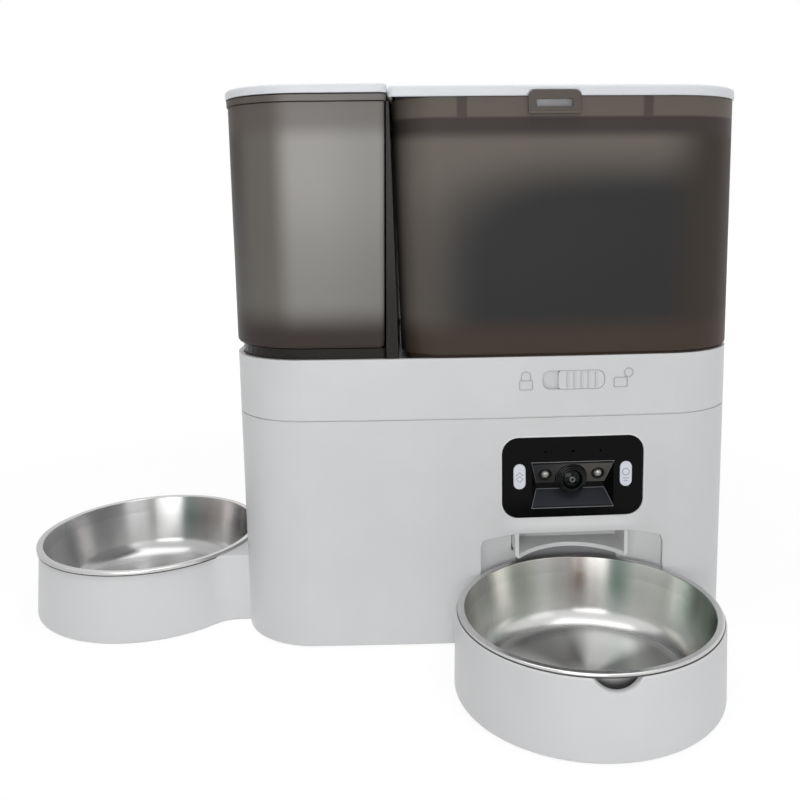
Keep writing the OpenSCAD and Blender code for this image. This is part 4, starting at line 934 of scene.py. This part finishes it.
def rim_shadow_ring(name, body, centre, r0, r1, z0, z1):
    """Thin dark ring under a bowl's rim: a painted shadow line where the rim overhangs the holder."""
    part = lathe(strip(r0, r1, z0, z1), shifted(*centre), 160, True)
    make_piece(name, [part], RIM_SHADOW, body, (), (*centre, 0))


def valve_coil():
    """Round wire spring in the tank's cap."""
    low, high, coil_r, wire, coils, steps = TANK_Z - 22.3, TANK_Z - 5.6, 5, 0.6, 6, 240
    wire_turns = [tau * j / 10 for j in range(10)]
    rings = []
    for i in range(steps + 1):
        a, h = 2 * coils * pi * i / steps, low + wire + (high - low - 2 * wire) * i / steps
        section = [(coil_r + wire * cos(b), h + wire * sin(b)) for b in wire_turns]
        rings.append([(TANK_X + r * cos(a), r * sin(a), z) for r, z in section])
    part = solid(rings)
    piece = make_piece("valve_coil", [part], HARDWARE, "water_tank", ["valve_spring"])
    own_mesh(piece)


def camera_piece():
    """Stepped lens barrel with its glass and pupil, and a diode in a collar on either side."""
    def place(a, b, h):
        return on_food(a, h, LENS_Z + b)

    glass_r, glass_back, barrel_r, barrel_back, curve_r = 5.6, 9, 9.2, 19.5, 11.4
    barrel = softened(
        [(glass_r, glass_back), (glass_r, 1.9), (6.0, 1.2), (6.6, 1.4), (6.8, 2.6), (7.5, 2.7), (7.7, 3.8),
         (8.3, 3.9), (8.5, 4.9), (barrel_r, 5.0), (barrel_r, barrel_back), (glass_r, barrel_back)],
        [0, 0.2, 0.25, 0.25, 0.2, 0.2, 0.2, 0.2, 0.2, 0.25, 0, 0], 3)
    make_piece("lens_barrel", [lathe(barrel, place, 72)], BARREL, "base", ["camera_barrel"])
    reach = [glass_r * i / 12 for i in range(1, 13)]
    dome = [(POLE, 1.7)] + [(r, 13.1 - sqrt(curve_r ** 2 - r ** 2)) for r in reach]
    dome += [(glass_r, glass_back), (POLE, glass_back)]
    make_piece("lens_glass", [lathe(dome, place, 64)], LENS, "base", ["camera_lens"])
    pupil = [(0.9, 1.66), (1.2, 1.55), (1.7, 1.7), (1.7, 2.0), (0.9, 2.0)]
    make_piece("lens_pupil", [lathe(pupil, place, 40, True)], PUPIL, "base")

    led_r, led_mid = 2.4, 5.2
    turns = [radians(90 * i / 10) for i in range(1, 11)]
    ball = [(led_r * sin(t), led_mid - led_r * cos(t)) for t in turns]
    led = [(POLE, led_mid - led_r)] + ball + [(led_r, barrel_back), (POLE, barrel_back)]
    ring = softened([(2.5, 9), (2.5, 4.6), (3.0, 4.1), (3.8, 4.3), (3.8, 9)], [0, 0.2, 0.3, 0.2, 0], 3)
    domes, collars = [], []
    for side in (-15.5, 15.5):
        def beside(a, b, h):
            return on_food(side + a, h - 0.33 * b, PANEL_Z + 0.5 + b)

        domes.append(lathe(led, beside, 32))
        collars.append(lathe(ring, beside, 40, True))
    make_piece("led_domes", domes, LED, "base", ["ir_leds"])
    make_piece("led_collars", collars, BARREL, "base")


def bead(a, b, r):
    """Thin six-sided rod between two (u, v, z) points on the front."""
    p, q = Vector(on_food(*a)), Vector(on_food(*b))
    along = (q - p).normalized()
    side = along.orthogonal().normalized()
    turned = along.cross(side)
    turns = [radians(60 * i) for i in range(6)]
    return solid([[tuple(end + (side * cos(t) + turned * sin(t)) * r) for t in turns] for end in (p, q)])


def niche_edges():
    """Thin beads painted light grey as highlights where the moulded edges of the sunk camera niche catch the
    light.
    """
    low, high, wide, deep, near, far = PANEL_Z - 18.4, PANEL_Z + 8.8, 24.0, 20.05, 0.6, 8.6
    ledge, hang = low + 9, low + 12.6
    beads = []
    for k in (-1, 1):
        beads.append(bead((k * wide, near, high), (k * deep, far, hang), 0.24))
        beads.append(bead((k * deep, far, ledge), (k * wide, near, low), 0.26))
    for half, v, z, r in ((deep, far, ledge, 0.28), (wide, near, high, 0.2), (wide, near, low, 0.22)):
        beads.append(bead((-half, v, z), (half, v, z), r))
    make_piece("niche_edge_highlight_lines", beads, NICHE_EDGE_HIGHLIGHT, "base")


def ridge(path, width, low, high, place, closed=False):
    """Low raised line along a path of (u, z) points; place(u, v, z) puts it on a face."""
    count = len(path)
    rings = []
    for i, (u, z) in enumerate(path):
        a = path[i - 1] if closed or i else path[i]
        b = path[(i + 1) % count] if closed or i < count - 1 else path[i]
        along = Vector((b[0] - a[0], b[1] - a[1])).normalized()
        side = Vector((-along.y, along.x)) * width / 2
        section = ((-1, low), (-0.55, high), (0.55, high), (1, low))
        rings.append([place(u + side.x * k, v, z + side.y * k) for k, v in section])
    return loft(rings, True) if closed else solid(rings)


def frame_path(u0, u1, z0, z1):
    """Closed rectangle path with its corners rounded fine enough for a ridge."""
    corners = strip(u0, u1, z0, z1)
    return softened(corners[-1:] + corners + corners[:1], [0.5] * 6)[1:-1]


def lock_marks():
    """Raised outlines of a closed and an open padlock beside the slider, grey as painted shade of the relief.
    """
    def place(u, v, z):
        return u, front_y(u) + v, z

    shut, wide, shackle_r, foot, line = 20.4, 74.7, 2.7, 157.6, (0.68, 0.1, -0.45, place)
    shackle = ring_path(shut, 159.9, shackle_r, 180, 0, 16)
    shackle = [(shut - shackle_r, foot)] + shackle + [(shut + shackle_r, foot)]
    marks = [ridge(frame_path(shut - 3.7, shut + 3.7, 152.3, 157.5), *line, True), ridge(shackle, *line),
             ridge(frame_path(wide - 3.8, wide + 3.8, 152.8, 158.3), *line, True),
             ridge(ring_path(wide + 4.6, 161.0, 2.5), *line, True)]
    make_piece("lock_marks", marks, RELIEF_SHADE, "base")


def slider_ribs():
    """Grey ridges on both flanks of the five grip ribs on the lock slider, as painted shade beside each rib.
    """
    slider_w, window_w, gap, flank, half = 26.4, 35.7, 0.15, 0.62, 4.5
    first = window_w / 2 - gap - slider_w
    ribs = []
    for i in range(5):
        for k in (-1, 1):
            u = first + slider_w * (0.2 + 0.154 * i) + k * flank
            ribs.append(ridge([(u, LOCK_Z - half), (u, LOCK_Z + half)], 0.34, 0.5, 0.2, on_food))
    make_piece("slider_rib_shade", ribs, RELIEF_SHADE, "lock")


def panel_bezel():
    """Moulded edge of the housing round the camera panel: a raised ridge, painted paler as a highlight."""
    half_w, half_h, r = 41.75, 24.45, 10.2
    path = []
    for cx, cz, a0 in ((1, 1, 0), (-1, 1, 90), (-1, -1, 180), (1, -1, 270)):
        path += ring_path(cx * (half_w - r), PANEL_Z + cz * (half_h - r), r, a0, a0 + 90, 12)
    make_piece("panel_bezel", [ridge(path, 0.9, 0.1, -0.22, on_food, True)], BEZEL_PAINTED_HIGHLIGHT, "base")


def key_marks():
    """Printed signs on the two keys: chevrons on the left one, a ring over two bars on the right one."""
    def place(u, v, h):
        return on_food(u, 0.45 + v, h)

    mid, z, line = 31, PANEL_Z + 0.8, (0.6, 0.05, -0.06, place)
    left = [ridge([(-mid - 2, z + 0.6), (-mid, z + 2.6), (-mid + 2, z + 0.6)], *line),
            ridge([(-mid - 2, z - 1.4), (-mid, z - 3.4), (-mid + 2, z - 1.4), (-mid, z + 0.2)], *line, True)]
    make_piece("left_key_sign", left, SYMBOL, "button_left")
    right = [ridge(ring_path(mid, z + 1.2, 2.0), *line, True)]
    right += [ridge([(mid - half, z - drop), (mid + half, z - drop)], *line)
              for half, drop in ((1.8, 2.6), (1.2, 4.2))]
    make_piece("right_key_sign", right, SYMBOL, "button_right")


hopper_piece()
hopper_lid_piece()
tank_piece()
tank_lid_piece()
bowl_piece("food_bowl_spun", "food_bowl", (FOOD_X, FOOD_Y), FOOD_STEEL)
bowl_piece("water_bowl_spun", "water_bowl", (WATER_X, 0.0), WATER_STEEL, True)
food_holder_piece()
water_holder_piece()
chute_piece()
niche_trims()
# Painted shadow lines under the two bowls' rims
rim_shadow_ring("food_rim_shadow_line", "food_bowl", (FOOD_X, FOOD_Y), 69.2, 70.25, 42.62, 43.1)
rim_shadow_ring("water_rim_shadow_line", "water_bowl", (WATER_X, 0.0), 68.7, 69.9, 41.9, 42.6)
camera_piece()
valve_coil()
niche_edges()
lock_marks()
slider_ribs()
panel_bezel()
key_marks()

# Camera, fitted to the photograph: angles in radians, place in metres, focus and middle in picture points
PITCH, YAW, ROLL = radians(8.304), radians(-2.536), radians(-0.676)
PLACE = (0.02693, -0.5229, 0.26069)
PICTURE, FOCUS, MIDDLE, SENSOR = 800, 894.1, (450.0, 327.73), 36
forward = Vector((-sin(YAW) * cos(PITCH), cos(YAW) * cos(PITCH), -sin(PITCH)))
level = Vector((cos(YAW), sin(YAW), 0))
upward = level.cross(forward)
right = level * cos(ROLL) + upward * sin(ROLL)
top = upward * cos(ROLL) - level * sin(ROLL)
camera_data = bpy.data.cameras.new("camera")
camera = link_object("camera", camera_data)
camera.matrix_world = Matrix((*zip(right, top, -forward, PLACE), (0, 0, 0, 1)))
camera_data.sensor_width = SENSOR
camera_data.lens = FOCUS / PICTURE * SENSOR
camera_data.shift_x = (PICTURE / 2 - MIDDLE[0]) / PICTURE
camera_data.shift_y = (MIDDLE[1] - PICTURE / 2) / PICTURE
camera_data.clip_start = 0.01
scene.camera = camera


def empty_tree(owner):
    """Node tree of a material or a world, with its own nodes cleared."""
    owner.use_nodes = True
    owner.node_tree.nodes.clear()
    return Nodes(owner.node_tree)


def seen_rays(s):
    """One for the rays that show a thing to the camera, straight on, through plastic or off a shiny face."""
    path = s.node("LightPath").outputs
    seen = s.math("MAXIMUM", path["Is Camera Ray"], path["Is Transmission Ray"])
    return s.math("MAXIMUM", seen, path["Is Glossy Ray"])


def show_mixed(s, output, share, first, second):
    """Feeds an output with two shaders, the second by its share."""
    mixer = s.node("MixShader", Fac=share)
    s.put(mixer.inputs[1], first.outputs[0])
    s.put(mixer.inputs[2], second.outputs[0])
    s.node(output, Surface=mixer.outputs[0])


FLOOR_HALF = 6
floor_mesh = bpy.data.meshes.new("floor")
corners = [(-1, -1), (1, -1), (1, 1), (-1, 1)]
floor_mesh.from_pydata([(x * FLOOR_HALF, y * FLOOR_HALF, 0) for x, y in corners], [], [(0, 1, 2, 3)])
floor = link_object("floor", floor_mesh)
floor_look = bpy.data.materials.new("pale_floor")
s = empty_tree(floor_look)
away = s.node("VectorMath")
away.operation = "LENGTH"
s.put(away.inputs[0], s.object_coords())
far = s.span(away.outputs["Value"], 0.45, 1.3, 0.8, 1.0, "LINEAR")
show_mixed(s, "OutputMaterial", s.times(seen_rays(s), far), s.node("BsdfDiffuse", Color=(0.85, 0.85, 0.85)),
           s.node("Emission", Strength=1.1))
floor_mesh.materials.append(floor_look)

world = bpy.data.worlds.new("studio")
scene.world = world
s = empty_tree(world)
heading = s.parts(s.node("TexCoord").outputs["Generated"])[0]
greys = ((0.0, 0.12), (0.28, 0.3), (0.45, 0.95), (0.6, 0.95), (0.85, 0.62), (1.0, 0.5))
walls = s.ramp(s.span(heading, -1.0, 1.0, kind="LINEAR"), [(x, (g * 0.98, g * 0.99, g)) for x, g in greys])
show_mixed(s, "OutputWorld", seen_rays(s), s.node("Background", Color=walls, Strength=0.5),
           s.node("Background", Color=(1.0, 1.0, 1.0), Strength=1.0))


def softbox(name, place, aim, size, power):
    data = bpy.data.lights.new(name, "AREA")
    data.shape = "RECTANGLE"
    data.size, data.size_y = size
    data.energy = power
    lamp = link_object(name, data)
    lamp.location = place
    lamp.rotation_euler = (Vector(aim) - Vector(place)).to_track_quat("-Z", "Y").to_euler()


softbox("softbox_top", (0.0, -0.1, 1.6), (0.05, 0.05, 0.2), (1.6, 1.2), 10.5)
softbox("softbox_front", (-0.35, -2.0, 0.45), (0.05, 0.0, 0.12), (1.2, 0.8), 11.0)
softbox("softbox_right", (1.4, -1.5, 0.9), (0.05, 0.0, 0.15), (0.9, 1.1), 1.2)

scene.view_settings.view_transform = "Standard"
